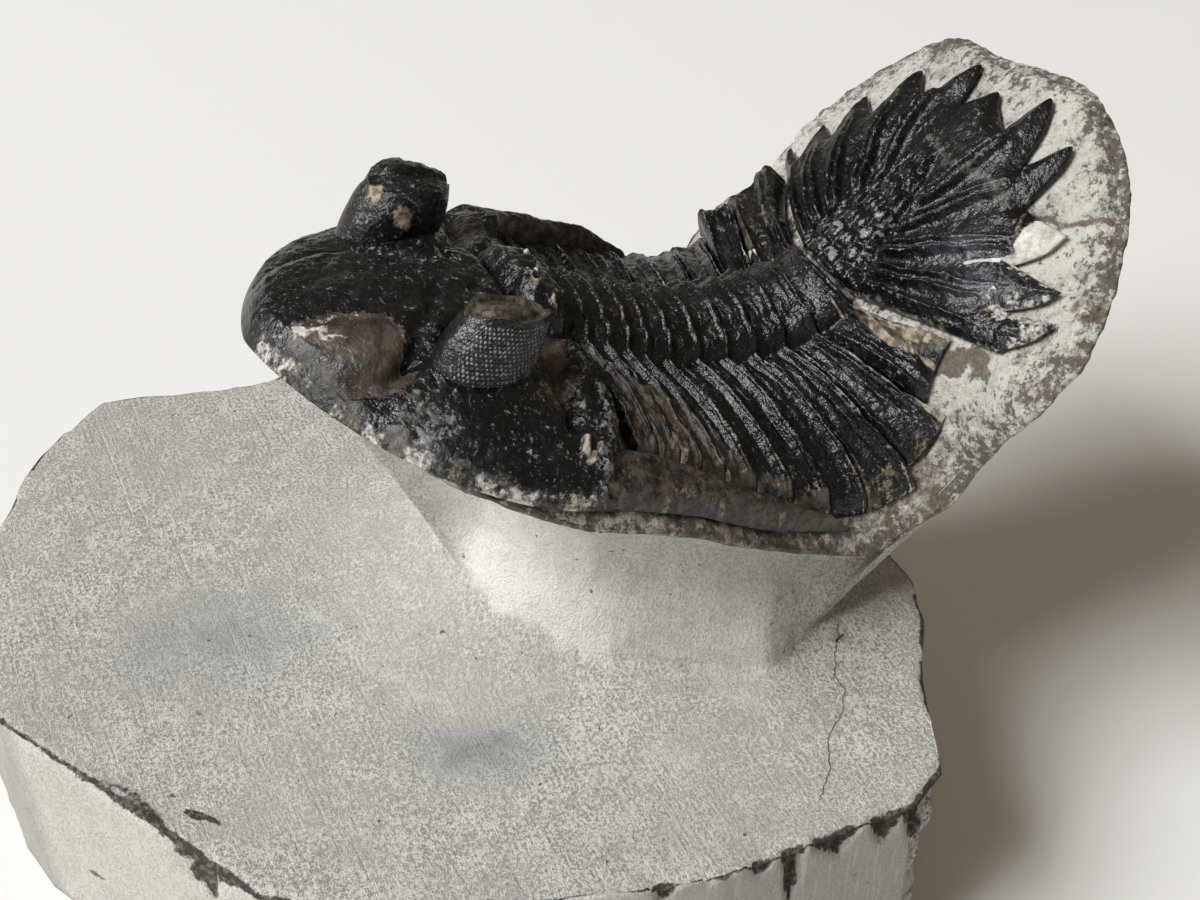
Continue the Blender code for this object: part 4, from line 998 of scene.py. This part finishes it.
def buildTail():
    # rays from a short line on the axis to the margin, over the top and back underneath
    margin = tailMargin()
    hub = np.stack([np.full(len(margin), 0.3), np.linspace(3.2, -3.2, len(margin))], -1)
    share = np.linspace(0, 1, tail["rows"])[:, None]
    share = 0.75 * share + 0.25 * np.sin(share * np.pi / 2)
    back = hub[:, 0] + (margin[:, 0] - hub[:, 0]) * share
    out = hub[:, 1] + (margin[:, 1] - hub[:, 1]) * share
    along = tail["from"] + back
    skin = onSkin(along, out)
    fromEdge = pathDistance(back, out, np.concatenate([hub[:1], margin[::3], margin[-1:], hub[-1:]]))
    floor = rockHeight(along, out) + body["gap"]
    uneven = roughNoise(skin, 0.9, 90)
    slow = roughNoise(skin, 3.2, 95, 3, 0.55)
    crisp = roughNoise(skin, 0.5, 97)
    warp = 0.13 * roughNoise(skin, 1.9, 98)
    height, beads, ribs = tailHeight(back + warp, out + 0.8 * warp)
    b, o = back + 0.35 * uneven, out + 0.35 * roughNoise(skin, 1.2, 99)
    impression = insideShape(b, o, tail["impression"], 0.25)
    vein = streak(b, o, tail["vein"], 0.22)
    olive = streak(b, o, tail["olive"], 0.75)
    shelf = streak(b, o, tail["shelf"], 0.5)
    sliver = streak(back, out, tail["sliver"], 0.13)
    lines = np.cos(2 * np.pi * (0.8 * back + 0.6 * out + 0.25 * uneven) / 1.1)
    height = height + 0.05 * uneven + 0.09 * slow + 0.02 * crisp
    height = height + (floor + 0.10 - height) * impression + 0.04 * impression * lines
    height = height + 0.15 * vein * (1 + crisp) + 0.25 * shelf * uneven
    # spines are thick and rounded to their edges
    outer = easeStep(9.5, 12.5, np.hypot(back, out))
    rise = np.sqrt(np.clip(1 - (1 - np.clip(fromEdge / 1.05, 0, 1)) ** 2, 0, 1))
    height = np.maximum(height, floor + 0.35)
    height = floor - 0.1 + (height + 0.30 * outer * easeStep(0.2, 1.2, fromEdge) - floor + 0.1) * rise
    lower = np.linspace(1, 0, 9)[1:, None]
    underBack = hub[:, 0] + (margin[:, 0] - hub[:, 0]) * lower
    underOut = hub[:, 1] + (margin[:, 1] - hub[:, 1]) * lower
    under = rockHeight(tail["from"] + underBack, underOut) + body["gap"] - 0.15
    points = np.concatenate([placeBody(along, out, height), placeBody(tail["from"] + underBack, underOut, under)])
    frontEdge = np.exp(-(fromEdge / 0.5)) * easeStep(9, 4, back)
    # the near spines are eaten away along their edges
    worn = easeStep(1.5, 0.2, fromEdge + 0.7 * uneven) * easeStep(-9, -12.5, out) * easeStep(2, 6, back)
    blues = sum(spotMask(back, out, middle, (1.9, 1.3), -50) for middle in tail["blues"])
    # painted highlights: pale glints on the axis beads
    beadHighlight = easeStep(0.45, 0.85, beads) * spotMask(back, out, (3.0, -1.2), (3.4, 3.4))
    marks = {
        "brown": 0.55 * vein + 0.30 * frontEdge + 0.12 * easeStep(0.2, 0.8, slow) + 0.25 * olive,
        "olive": 0.52 * olive + 0.35 * shelf * easeStep(0, 0.5, uneven),
        "tan": 0.45 * vein * easeStep(-0.4, 0.3, crisp)
        + 0.50 * frontEdge * easeStep(-0.3, 0.3, uneven) * easeStep(2, -4, out),
        "chalkAndGlint": 0.95 * sliver + 2.2 * easeStep(0.02, 0.30, impression) + 0.35 * shelf * easeStep(0.2, 0.6, crisp)
        + 0.50 * worn,
        # wear: painted highlights on the beads and rib crests, and real wear where the near spines are eaten
        "wearAndGlint": 0.02 + 0.10 * easeStep(0.30, 0.8, beads) + 0.07 * easeStep(0.1, 0.6, crisp) + 0.25 * worn
        + 0.66 * beadHighlight * easeStep(-0.9, 0.4, crisp)
        + 0.30 * easeStep(0.62, 0.98, ribs) * easeStep(-0.6, 0.3, uneven),
        "blueAndSheen": 0.70 * blues, "dull": 0.05 + 0.15 * outer,
    }
    marks = padMarks(marks, back.shape, rows=(0, len(under)))
    quads = gridQuads(*points.shape[:2], wrapRows=True)
    makePiece("tailShield", points, quads, marks, shell, "pygidium")


# Rock: rim under the animal, neck and block
rock = {
    "rim": [(66.9, -1.0), (67.4, -4.0), (66.6, -7.2), (65.6, -9.8), (63.3, -13.1), (60.7, -15.3), (57.9, -17.4),
            (55.0, -18.9), (53.0, -19.6), (51.0, -19.7), (48.6, -19.0), (46.4, -17.2), (43.8, -16.2),
            (41.4, -16.1), (39.0, -16.5), (36.2, -16.7), (32.0, -16.6), (26.0, -16.8), (18.2, -16.8),
            (14.4, -15.9), (12.0, -15.0), (9.3, -13.5), (7.3, -11.9), (4.6, -8.8), (2.4, -4.5), (1.2, -1.0),
            (1.1, 1.6), (2.2, 4.6), (4.6, 8.8), (7.3, 12.1), (9.3, 14.0), (12.6, 15.9), (18.0, 16.8),
            (26.0, 16.4), (34.0, 16.1), (40.0, 16.3), (45.5, 17.0), (49.0, 18.2), (51.8, 19.0), (54.2, 18.9),
            (57.7, 17.7), (60.5, 16.7), (62.9, 14.9), (64.7, 12.3), (65.7, 9.6), (65.9, 6.0), (66.2, 2.2)],
    "tanBand": [(45.0, -4.5), (46.4, -8.0), (47.6, -11.5), (49.0, -14.6)],
    "rimVein": [(58.6, -9.4), (59.5, -12.3), (61.6, -14.2)],
    "lipDrop": 0.9, "neckX": -1.0, "blockTop": 18.5,
    # the neck's foot and the width of the ramp round it, by direction in degrees
    "neck": [(-180, 11.3), (-170, 11.2), (-157, 11.5), (-143, 11.8), (-131, 12.4), (-121, 12.9), (-112, 13.3),
             (-105, 13.5), (-98, 13.9), (-86, 15.3), (-78, 16.8), (-71, 18.3), (-65, 18.4), (-51, 18.6),
             (-33, 18.5), (-20, 17.5), (0, 16.5), (30, 16.5), (60, 16.2), (90, 15), (120, 13.0), (140, 12.4),
             (160, 11.6), (180, 11.3)],
    "fillet": [(-180, 10.5), (-170, 9.5), (-159, 9), (-150, 8.2), (-141, 7.0), (-131, 5), (-121, 3.2),
               (-112, 2.2), (-98, 1.6), (-86, 1.2), (-71, 1.0), (-60, 1.6), (-40, 2.6), (0, 4), (90, 4.5),
               (140, 8), (180, 10.5)],
    "rampRise": 0.42,
    "crack": [(24.1, -15.5), (22.4, -17.9), (21.3, -19.4), (21.0, -21.3), (19.9, -22.7), (18.3, -23.8),
              (16.4, -26.6), (14.7, -28.4)],
    # dark broken places along the upper edge: direction, half width in degrees, how far down in mm
    "chips": [(178, 3.5, 0.9), (-175, 3.5, 0.9), (-171, 1.6, 1.3), (-167, 2.4, 1.8), (-162, 2.6, 2.2),
              (-156, 2.7, 3.0), (-151, 2.4, 1.4), (-145, 4.0, 1.0), (-136, 3.0, 1.2), (-126, 4.0, 0.8),
              (-107, 1.3, 1.1), (-101, 3.6, 0.35), (-95.5, 1.3, 1.8), (-91.5, 1.1, 3.4), (-85.5, 2.6, 2.4),
              (-79.5, 2.0, 1.6), (-72, 3.2, 7.5)],
    "corners": [(-46.0, 9.6), (-43.9, 1.2), (-41.0, -4.2), (-38.0, -9.8), (-34.8, -16.0), (-32.5, -19.9),
                (-27.0, -23.8), (-19.4, -26.8), (-11.5, -29.5), (-6.7, -30.8), (0.6, -31.2), (7.1, -31.4),
                (10.2, -29.9), (11.8, -26.4), (14.3, -21.7), (17.0, -18.2), (18.4, -14.4), (18.6, 0.0),
                (16.6, 10.0), (12.2, 17.6), (2.0, 23.0), (-7.0, 26.8), (-15.5, 29.3), (-24.7, 31.1),
                (-29.8, 32.4), (-33.6, 29.9), (-37.4, 25.9), (-40.2, 20.9), (-43.4, 15.6)],
    # a scab of brown weathered rock on the near left edge, and small dark pits: place and radius
    "scab": [(-26.6, -6.6), (-24.6, -7.1), (-23.4, -8.9), (-22.4, -11.2), (-21.9, -13.8), (-20.6, -17.1),
             (-22.0, -16.4), (-25.2, -10.0)],
    "pits": [(-21.3, -10.4, 0.30), (-21.2, -12.2, 0.36), (-20.7, -15.2, 0.36), (-20.9, -13.6, 0.32),
             (-22.0, -10.1, 0.26), (-20.2, -13.0, 0.24), (-19.6, -14.2, 0.26), (-21.7, -5.7, 0.22)],
    # bright creases where the ground ramp breaks
    "creases": [[(-3.4, 4.6), (-3.2, 2.0), (-3.0, -0.6)],
                [(-9.3, 3.0), (-7.9, -3.6), (-5.4, -8.4), (-2.7, -12.6)]],
    # seams on the left face: place along x and depth below the top edge
    "seams": [[(-33.0, 12.8), (-29.6, 12.4), (-25.0, 11.2)], [(-26.5, 8.4), (-22.5, 6.4), (-17.5, 3.0)]],
    "rimColumns": 900, "lipRings": 17,
    "blockColumns": 480, "wallRings": 52, "rampRings": 23, "topRings": 85, "sideRings": 36,
}


def closedCurve(points, count):
    # monotone cubics over the chord length, wrapped round the loop
    points = np.array(points, float)
    length = np.linalg.norm(np.roll(points, -1, 0) - points, axis=1)
    knots = np.concatenate([[0], np.cumsum(length)])
    wrapped = np.concatenate([knots[-4:-1] - knots[-1], knots, knots[1:4] + knots[-1]])
    looped = np.concatenate([points[-3:], points, points[:1], points[1:4]])
    at = knots[-1] * np.arange(count) / count
    return np.stack([smoothThrough(list(zip(wrapped, looped[:, k])), at) for k in range(2)], -1)


def blockEdge(direction):
    # where the ray from the neck's centre crosses the outline of the block
    corners = np.array(rock["corners"]) - [rock["neckX"], 0]
    ray = np.stack([np.cos(direction), np.sin(direction)], -1)
    distance = np.full(len(direction), np.inf)
    for here, there in zip(corners, np.roll(corners, -1, 0)):
        edge = there - here
        cross = ray[:, 0] * edge[1] - ray[:, 1] * edge[0]
        cross = np.where(np.abs(cross) < 1e-9, 1e-9, cross)
        away = (here[0] * edge[1] - here[1] * edge[0]) / cross
        share = (here[0] * ray[:, 1] - here[1] * ray[:, 0]) / cross
        hit = (away > 0) & (share >= -1e-9) & (share <= 1 + 1e-9)
        distance = np.where(hit, np.minimum(distance, away), distance)
    return distance


def rimFrame(count):
    # the rim's loop, the line along the body that it closes in on, and the unit vector inwards
    rim = closedCurve(rock["rim"], count)
    line = np.stack([np.clip(rim[:, 0], 9, 58), np.zeros(count)], -1)
    inward = line - rim
    inward /= np.linalg.norm(inward, axis=1)[:, None]
    return rim, line, inward


def lipDepth(rim):
    # the lip is thin beside the body and thicker round the tail
    return rock["lipDrop"] + 0.6 * easeStep(42, 48, rim[:, 0])


def buildRim():
    # rings from the middle of the top out to the rim, over its rounded lip and back in underneath
    count = rock["rimColumns"]
    rim, line, inward = rimFrame(count)
    wobble = roughNoise(np.concatenate([rim, 0 * rim[:, :1]], 1), 3.2, 101, 4)
    atTail = easeStep(44, 50, rim[:, 0])
    rim = rim + inward * (0.06 - 0.10 * atTail + 0.16 * wobble)[:, None]
    shares = np.concatenate([np.linspace(0.06, 0.62, 10), np.linspace(0.64, 1.0, 74)])
    spot = line + (rim - line) * shares[:, None, None]
    along, out = spot[..., 0], spot[..., 1]
    skin = onSkin(along, out)
    height = rockHeight(along, out)
    rough = roughNoise(skin, 1.5, 110, 4, 0.62)
    lumps = roughNoise(skin, 4.5, 120, 3, 0.5)
    beyond = easeStep(0.70, 0.9, shares)[:, None]
    height = height + beyond * (0.20 * rough + 0.22 * lumps)
    fromEdge = np.linalg.norm(spot - rim, axis=-1)
    height = height - 0.35 * bell(fromEdge, 0.45) * (1 + 0.7 * wobble)
    top = placeBody(along, out, height)
    edgeHeight = rockHeight(rim[:, 0], rim[:, 1])
    lipTurns = np.linspace(0, 1, rock["lipRings"] + 1)[1:, None]
    push = (0.25 + 0.45 * atTail) * np.sin(np.pi * lipTurns**0.8) - (0.30 + 0.25 * atTail) * lipTurns**2
    lipSpot = rim - inward * push[..., None]
    turned = np.broadcast_to(lipTurns[..., None] * 2, (rock["lipRings"], count, 1))
    lipRough = roughNoise(np.concatenate([lipSpot, turned], -1), 1.1, 130, 4, 0.62)
    lipSpot = lipSpot + inward * (0.10 * (1 + lipRough))[..., None]
    lipHeight = edgeHeight - lipDepth(rim) * lipTurns - 0.35 * (1 - lipTurns) * (1 + 0.7 * wobble)
    lip = placeBody(lipSpot[..., 0], lipSpot[..., 1], lipHeight)
    lowShares = np.array([0.8, 0.4, 0.06])
    low = line + (rim - line) * lowShares[:, None, None]
    lowHeight = rockHeight(low[..., 0], low[..., 1]) - lipDepth(rim) - 0.6
    under = placeBody(low[..., 0], low[..., 1], lowHeight)
    points = np.concatenate([top, lip, under])
    quads = ringQuads(len(points), count)
    # over all the rings: share of the way out, places, and 0 to 1 round the lip
    full = np.concatenate([shares, np.ones(len(lip)), lowShares])[:, None] + 0 * wobble
    alongAll = np.concatenate([along, lipSpot[..., 0], low[..., 0]])
    outAll = np.concatenate([out, lipSpot[..., 1], low[..., 1]])
    onLip = np.concatenate([np.zeros(len(top)), lipTurns[:, 0], np.ones(len(under))])[:, None] + 0 * wobble
    nearEdge = np.concatenate([np.exp(-(fromEdge / 1.6)), np.ones((len(lip) + len(under), count))])
    belly = easeStep(15, 22, alongAll) * easeStep(47, 42, alongAll) * easeStep(10, 14, -outAll)
    besideTail = easeStep(41, 46, alongAll) * easeStep(64, 55, alongAll)
    behind = easeStep(50, 60, alongAll)
    noise = roughNoise(onSkin(alongAll, outAll), 2.0, 140)
    tanBand = streak(alongAll, outAll, rock["tanBand"], 1.2)
    vein = streak(alongAll + 0.3 * noise, outAll, rock["rimVein"], 0.30)
    impression = insideShape(alongAll - tail["from"] + 0.3 * noise, outAll, tail["impression"], 0.4)
    marks = {
        "earth": 0.50 * belly * (1 - 0.6 * onLip * easeStep(30, 20, alongAll))
        + 0.62 * tanBand * easeStep(-0.8, 0.2, noise) + 0.70 * vein * (1 - onLip)
        + 0.40 * besideTail * easeStep(-0.1, 0.5, noise) * (1 - onLip)
        + 0.34 * nearEdge * easeStep(0.1, 0.6, noise) * behind,
        "edge": 0.7 * nearEdge * (1 - 0.5 * onLip) + 0.12 * onLip,
        # grey: painted shade round the lip, with a little more near the edge and under the near side
        "grey": 0.7 * onLip + 0.2 * nearEdge + 0.2 * belly - 0.9 * impression,
        # dark: painted shade on the rock under the shell and below the rim; behind the tail, dark patches near the
        # edge
        "dark": 0.50 * easeStep(0.66, 0.5, full) + 0.42 * nearEdge * easeStep(0.35, 0.8, noise) * behind,
    }
    makePiece("rimRock", points, quads, marks, rimStone, "matrix")


def signedDistance(x, y, path, limit):
    # distance from the broken line, negative on its right, and the limit beyond its ends
    best, side = np.full(np.shape(x), np.inf), np.zeros(np.shape(x))
    for (x0, y0), (x1, y1) in zip(path[:-1], path[1:]):
        dx, dy = x1 - x0, y1 - y0
        t = ((x - x0) * dx + (y - y0) * dy) / (dx * dx + dy * dy)
        near = np.clip(t, 0, 1)
        away = np.hypot(x - x0 - near * dx, y - y0 - near * dy)
        closer = away < best
        best = np.where(closer, away, best)
        side = np.where(closer, np.sign(dx * (y - y0) - dy * (x - x0)), side)
    ends = np.minimum(np.hypot(x - path[0][0], y - path[0][1]), np.hypot(x - path[-1][0], y - path[-1][1]))
    best = np.where(np.abs(ends - best) < 1e-9, limit, best)
    return np.clip(best, 0, limit) * side


def buildBlock():
    # rings down the neck by a cubic from the lip to its foot, out over the ramp by a square, over the block's top
    # and down its sides
    count = rock["blockColumns"]
    centreX = rock["neckX"] + body["shift"][0]
    rim, _, inward = rimFrame(count)
    edgeHeight = rockHeight(rim[:, 0], rim[:, 1])
    tucked = rim + 0.5 * inward
    underLip = placeBody(tucked[:, 0], tucked[:, 1], edgeHeight - lipDepth(rim) + 0.2)
    atTail = easeStep(40, 46, rim[:, 0])
    ring = placeBody(rim[:, 0], rim[:, 1], edgeHeight)
    # columns fan out round the neck, and one goes to each corner of the block
    direction = np.arctan2(ring[:, 1], (ring[:, 0] - centreX) * 0.55 + 1.0)
    for angle in np.arctan2([c[1] for c in rock["corners"]], [c[0] - rock["neckX"] for c in rock["corners"]]):
        nearest = np.argmin(np.abs((direction - angle + np.pi) % (2 * np.pi) - np.pi))
        direction[nearest] = angle
    degrees = np.degrees(direction)
    ray = np.stack([np.cos(direction), np.sin(direction)], -1)
    neck = smoothThrough(rock["neck"], degrees)
    fillet = smoothThrough(rock["fillet"], degrees)
    edge = blockEdge(direction)

    def level(radius, height):
        # a ring of points at the given radius and height, each one number or one for each column
        flat = ray * np.broadcast_to(radius, (count,))[:, None] + [centreX, 0]
        return np.concatenate([flat, np.broadcast_to(height, (count,))[:, None]], 1)

    blockTop = rock["blockTop"]
    rampTop = blockTop + fillet * rock["rampRise"]
    # on the near side the wall is cut in under the lip and stands upright, leaning back a little
    upright = easeStep(-172, -158, degrees) * easeStep(-56, -66, degrees) * (1 - atTail)
    hidden = 1 - easeStep(-140, -120, degrees) * easeStep(160, 120, degrees)
    spot = rim + (1.6 + 3.4 * atTail + 2.2 * upright + 3.6 * hidden)[:, None] * inward
    below = placeBody(spot[:, 0], spot[:, 1], edgeHeight - lipDepth(rim) - 3.0 + 2.2 * upright)
    foot = level(neck, rampTop)
    tall = underLip[:, 2] - rampTop
    aboveFoot = foot + (below - foot) * 0.35
    aboveFoot = aboveFoot + (level(neck - 0.26 * tall, rampTop + 0.62 * tall) - aboveFoot) * upright[:, None]
    t = np.linspace(0, 1, rock["wallRings"])[:, None, None]
    wall = (1 - t)**3 * underLip + 3 * (1 - t)**2 * t * below + 3 * (1 - t) * t**2 * aboveFoot + t**3 * foot
    t = np.linspace(0, 1, rock["rampRings"] + 1)[1:, None, None]
    rampBend = level(neck + 0.18 * fillet, blockTop + 0.08 * fillet)
    curve = (1 - t)**2 * foot + 2 * (1 - t) * t * rampBend + t**2 * level(neck + fillet, blockTop)
    # sawn faces are flat; the others are broken, with a rough worn edge
    wild = easeStep(-76, -71, degrees) * easeStep(173, 168, degrees)
    sawn = 1 - wild
    rimNoise = roughNoise(np.concatenate([ray * 30, 0 * ray[:, :1]], 1), 3.2, 150, 4, 0.65)
    chip = 0.25 * np.clip(0.4 + rimNoise, 0, 1) + 0 * degrees
    for middle, half, depth in rock["chips"]:
        away = np.abs((degrees - middle + 180) % 360 - 180) / half
        chip = np.maximum(chip, depth * np.exp(-(away**2)) * np.clip(0.9 + 0.9 * rimNoise, 0, 2))
    leftEdge = easeStep(-138, -144, degrees) * easeStep(-172, -164, degrees)
    chip = np.maximum(chip, leftEdge * np.clip(0.75 + 0.6 * rimNoise, 0.45, 1.6))
    chip = chip + wild * np.clip(0.5 + 0.9 * rimNoise, 0, 1.5)
    outwards = np.linspace(0, 1, rock["topRings"] + 1)[1:] ** 0.9
    downwards = np.linspace(0, 1, rock["sideRings"]) ** 1.3
    flat = np.stack([level(neck + fillet + (edge - 0.3 - neck - fillet) * s, blockTop) for s in outwards])
    side = np.stack([level(edge - 0.05 * (1 - s), blockTop * (1 - s)) for s in downwards])
    shallow = np.minimum(chip, 1.1)
    under = np.stack([level(edge * s, 0.0) for s in (0.92, 0.6, 0.3, 0.02)])
    points = np.concatenate([wall, curve, flat, side, under])
    # roughness: along the neck outwards, on the top upwards, on the sides inwards
    nWall, nCurve, nFlat, nSide = len(wall), len(curve), len(flat), len(side)
    rough = roughNoise(points, 2.2, 160, 4, 0.55)
    slow = roughNoise(points, 9.0, 170, 3, 0.5)
    crisp = roughNoise(points, 0.9, 165)
    radial = np.concatenate([ray, 0 * ray[:, :1]], 1)
    wallShare = np.concatenate([np.sin(np.linspace(0.02, 1, nWall) * np.pi / 2), np.linspace(1, 0.15, nCurve)])
    upper = points[:nWall + nCurve]        # a view, so adding to it moves the points
    # the scar: the wall's foot is undercut between its two corners
    low = easeStep(5.0, 0.5, upper[..., 2] - blockTop + 0.10 * (degrees + 109) - 1.5)
    scar = easeStep(-109, -104, degrees) * easeStep(-72, -77, degrees) * low
    out = wallShare[:, None] * (0.10 * rough + 0.22 * slow + 0.05 * crisp)[:nWall + nCurve] - 0.12 * scar
    upper += radial * out[..., None]
    topSlice = slice(nWall + nCurve, nWall + nCurve + nFlat)
    fromEdge = edge - np.linalg.norm(points[..., :2] - [centreX, 0], axis=-1)
    fall = 0.7 * shallow * np.exp(-((np.clip(fromEdge, 0, None) / (0.12 + 0.30 * shallow)) ** 1.5))
    fadeIn = np.linspace(0, 1, nFlat)[:, None] ** 0.5
    dish = -0.25 + 0.16 * slow + 0.05 * rough
    points[topSlice, :, 2] += dish[topSlice] * fadeIn - fall[topSlice]
    sideSlice = slice(topSlice.stop, topSlice.stop + nSide)
    down = downwards[:, None] * blockTop
    inChip = easeStep(0.35, -0.35, down - chip + 0.35 * rough[sideSlice])
    depth = 0.03 + 0.03 * rough[sideSlice] * sawn
    depth = depth + (0.75 + 0.45 * slow[sideSlice] + 0.4 * rough[sideSlice]) * wild
    chipped = inChip * (0.25 + 0.30 * np.clip(chip - down, 0, 2) + 0.20 * crisp[sideSlice])
    depth = depth * np.minimum(down * 0.6 + 0.25, 1) + chipped
    points[sideSlice] -= radial * np.clip(depth, 0, None)[..., None]
    points[sideSlice, :, 2] -= (0.7 * shallow + 0.2) * np.exp(-down / 0.3)
    points[..., 2] = np.clip(points[..., 2], 0, None)
    quads = ringQuads(len(points), count)
    x, y, z = points[..., 0], points[..., 1], points[..., 2]
    isSide = np.zeros(x.shape)
    isSide[sideSlice] = 1
    dark = np.zeros(x.shape)
    # the chips along the upper edge are dark broken stone; the 0.45 over all the broken sides is painted shade
    dark[sideSlice] = 0.78 * inChip + 0.45 * wild
    bare = easeStep(0.5, -0.1, fromEdge[topSlice] - 0.20 - 0.28 * shallow)
    dark[topSlice] = 0.72 * bare * easeStep(0.2, 0.7, chip)
    scab = insideShape(x + 0.4 * rough, y + 0.4 * crisp, rock["scab"], 0.4)
    dark = dark + 0.72 * scab * (1 - isSide) * easeStep(-1.0, 0.3, rough)
    for pitX, pitY, pitRadius in rock["pits"]:
        dark = dark + 1.5 * spotMask(x + 0.2 * crisp, y + 0.2 * rough, (pitX, pitY), (pitRadius, pitRadius))
    # painted light: the neck's whitening is strongest on its left facet, which faces the window, painted greyer on
    # the facets turned away, and none behind
    whiteAndLitFacets = 1 - 0.50 * easeStep(-112, -98, degrees) - 0.30 * easeStep(-80, -60, degrees)
    whiteAndLitFacets = whiteAndLitFacets * easeStep(-172, -164, degrees) * easeStep(130, 100, degrees)
    # two hair seams cross the left sawn face
    seam = np.zeros(x.shape)
    for ends in rock["seams"]:
        seamDepth = smoothThrough(ends, x[sideSlice])
        inside = (x[sideSlice] > ends[0][0]) & (x[sideSlice] < ends[-1][0]) & (y[sideSlice] < 14)
        seam[sideSlice] += inside * bell(down - seamDepth + 0.25 * crisp[sideSlice], 0.11)
    creases = sum(streak(x, y, path, 0.30) for path in rock["creases"]) * (1 - isSide)
    creases = creases * easeStep(-0.5, 0.4, rough)
    stain = 0.75 * spotMask(x, y, (-15.8, 1.5), (6.5, 4.2), -20)
    stain = stain + 1.15 * spotMask(x, y, (-3.1, -15.3), (4.0, 2.1), -30)
    marks = {
        # painted shade: the front sawn face, turned away from the window, is made darker
        "paintedShade": isSide * easeStep(-114, -106, degrees) * sawn,
        "dark": dark, "seam": seam * (0.55 + 0.5 * rough),
        "stain": stain * np.clip(0.85 + 0.55 * rough + 0.3 * crisp, 0, 1.6),
        "white": easeStep(-0.6, 0.6, z - rampTop + 0.6 * rough) * whiteAndLitFacets * (1 - isSide) + 0.40 * creases,
        "ochre": spotMask(x, y, (3.0, -9.8), (2.6, 1.0), -55) + 0.8 * spotMask(x, y, (6, -27), (6, 4)),
        "sawn": isSide * sawn, "ground": easeStep(3, 0.5, z - blockTop) * (1 - isSide),
        "crack": np.where((z > blockTop + 1.0) | (isSide > 0), 3.0, signedDistance(x, y, rock["crack"], 3.0)),
    }
    makePiece("blockRock", points, quads, marks, blockStone, "matrix")


buildHead()
buildEye("nearEye", nearEye)
buildEye("farEye", farEye)
buildSpine("nearSpine", -1, spines["nearEnd"])
buildSpine("farSpine", 1, spines["farEnd"])
for number in range(11):
    buildSegment(number)
buildTail()
buildRim()
buildBlock()

# Stage: pale floor, window light from the left, and the camera where the photograph was taken
stage = {
    "floor": (0.85, 0.85, 0.835), "floorHalf": 3.0, "floorRoughness": 0.7,
    "target": (0.013, 0.0, 0.0265), "distance": 0.119, "azimuth": -26, "elevation": 40, "lens": 50, "sensor": 36,
    "window": 75.5, "windowWide": 1.45, "windowTall": 1.2, "windowDistance": 2.4,
    "windowFrom": (-0.694, 0.036, 0.719), "windowColour": (0.985, 0.99, 1.0),
    "room": (1.0, 0.83, 0.62), "roomStrength": 0.175,
}


def buildStage():
    # a wide flat square below the block, the camera looking at the target, a soft window and a faint warm room
    mesh = bpy.data.meshes.new("floor")
    half = stage["floorHalf"]
    mesh.from_pydata([(-half, -half, 0), (half, -half, 0), (half, half, 0), (-half, half, 0)], [], [(0, 1, 2, 3)])
    floor = bpy.data.objects.new("floor", mesh)
    bpy.context.scene.collection.objects.link(floor)
    f = Finish("floorFinish")
    f.shader.inputs["Base Color"].default_value = (*stage["floor"], 1)
    f.shader.inputs["Roughness"].default_value = stage["floorRoughness"]
    mesh.materials.append(f.material)
    target = Vector(stage["target"])
    a, e = math.radians(stage["azimuth"]), math.radians(stage["elevation"])
    back = Vector((math.sin(a) * math.cos(e), -math.cos(a) * math.cos(e), math.sin(e)))
    optics = bpy.data.cameras.new("camera")
    optics.lens, optics.sensor_width, optics.sensor_fit = stage["lens"], stage["sensor"], "HORIZONTAL"
    optics.clip_start, optics.clip_end = 0.005, 20
    camera = bpy.data.objects.new("camera", optics)
    bpy.context.scene.collection.objects.link(camera)
    camera.location = target + back * stage["distance"]
    camera.rotation_mode = "QUATERNION"
    camera.rotation_quaternion = (-back).to_track_quat("-Z", "Y")
    bpy.context.scene.camera = camera
    light = bpy.data.lights.new("window", "AREA")
    light.shape, light.size, light.size_y = "RECTANGLE", stage["windowWide"], stage["windowTall"]
    light.energy, light.color = stage["window"], stage["windowColour"]
    window = bpy.data.objects.new("window", light)
    bpy.context.scene.collection.objects.link(window)
    toWindow = Vector(stage["windowFrom"]).normalized()
    window.location = target + toWindow * stage["windowDistance"]
    window.rotation_mode = "QUATERNION"
    window.rotation_quaternion = toWindow.to_track_quat("Z", "Y")
    world = bpy.data.worlds.new("room")
    world.use_nodes = True
    room = world.node_tree.nodes["Background"]
    room.inputs["Color"].default_value = (*stage["room"], 1)
    room.inputs["Strength"].default_value = stage["roomStrength"]
    bpy.context.scene.world = world
    bpy.context.scene.view_settings.view_transform = "Standard"
    print("stage ready")


buildStage()
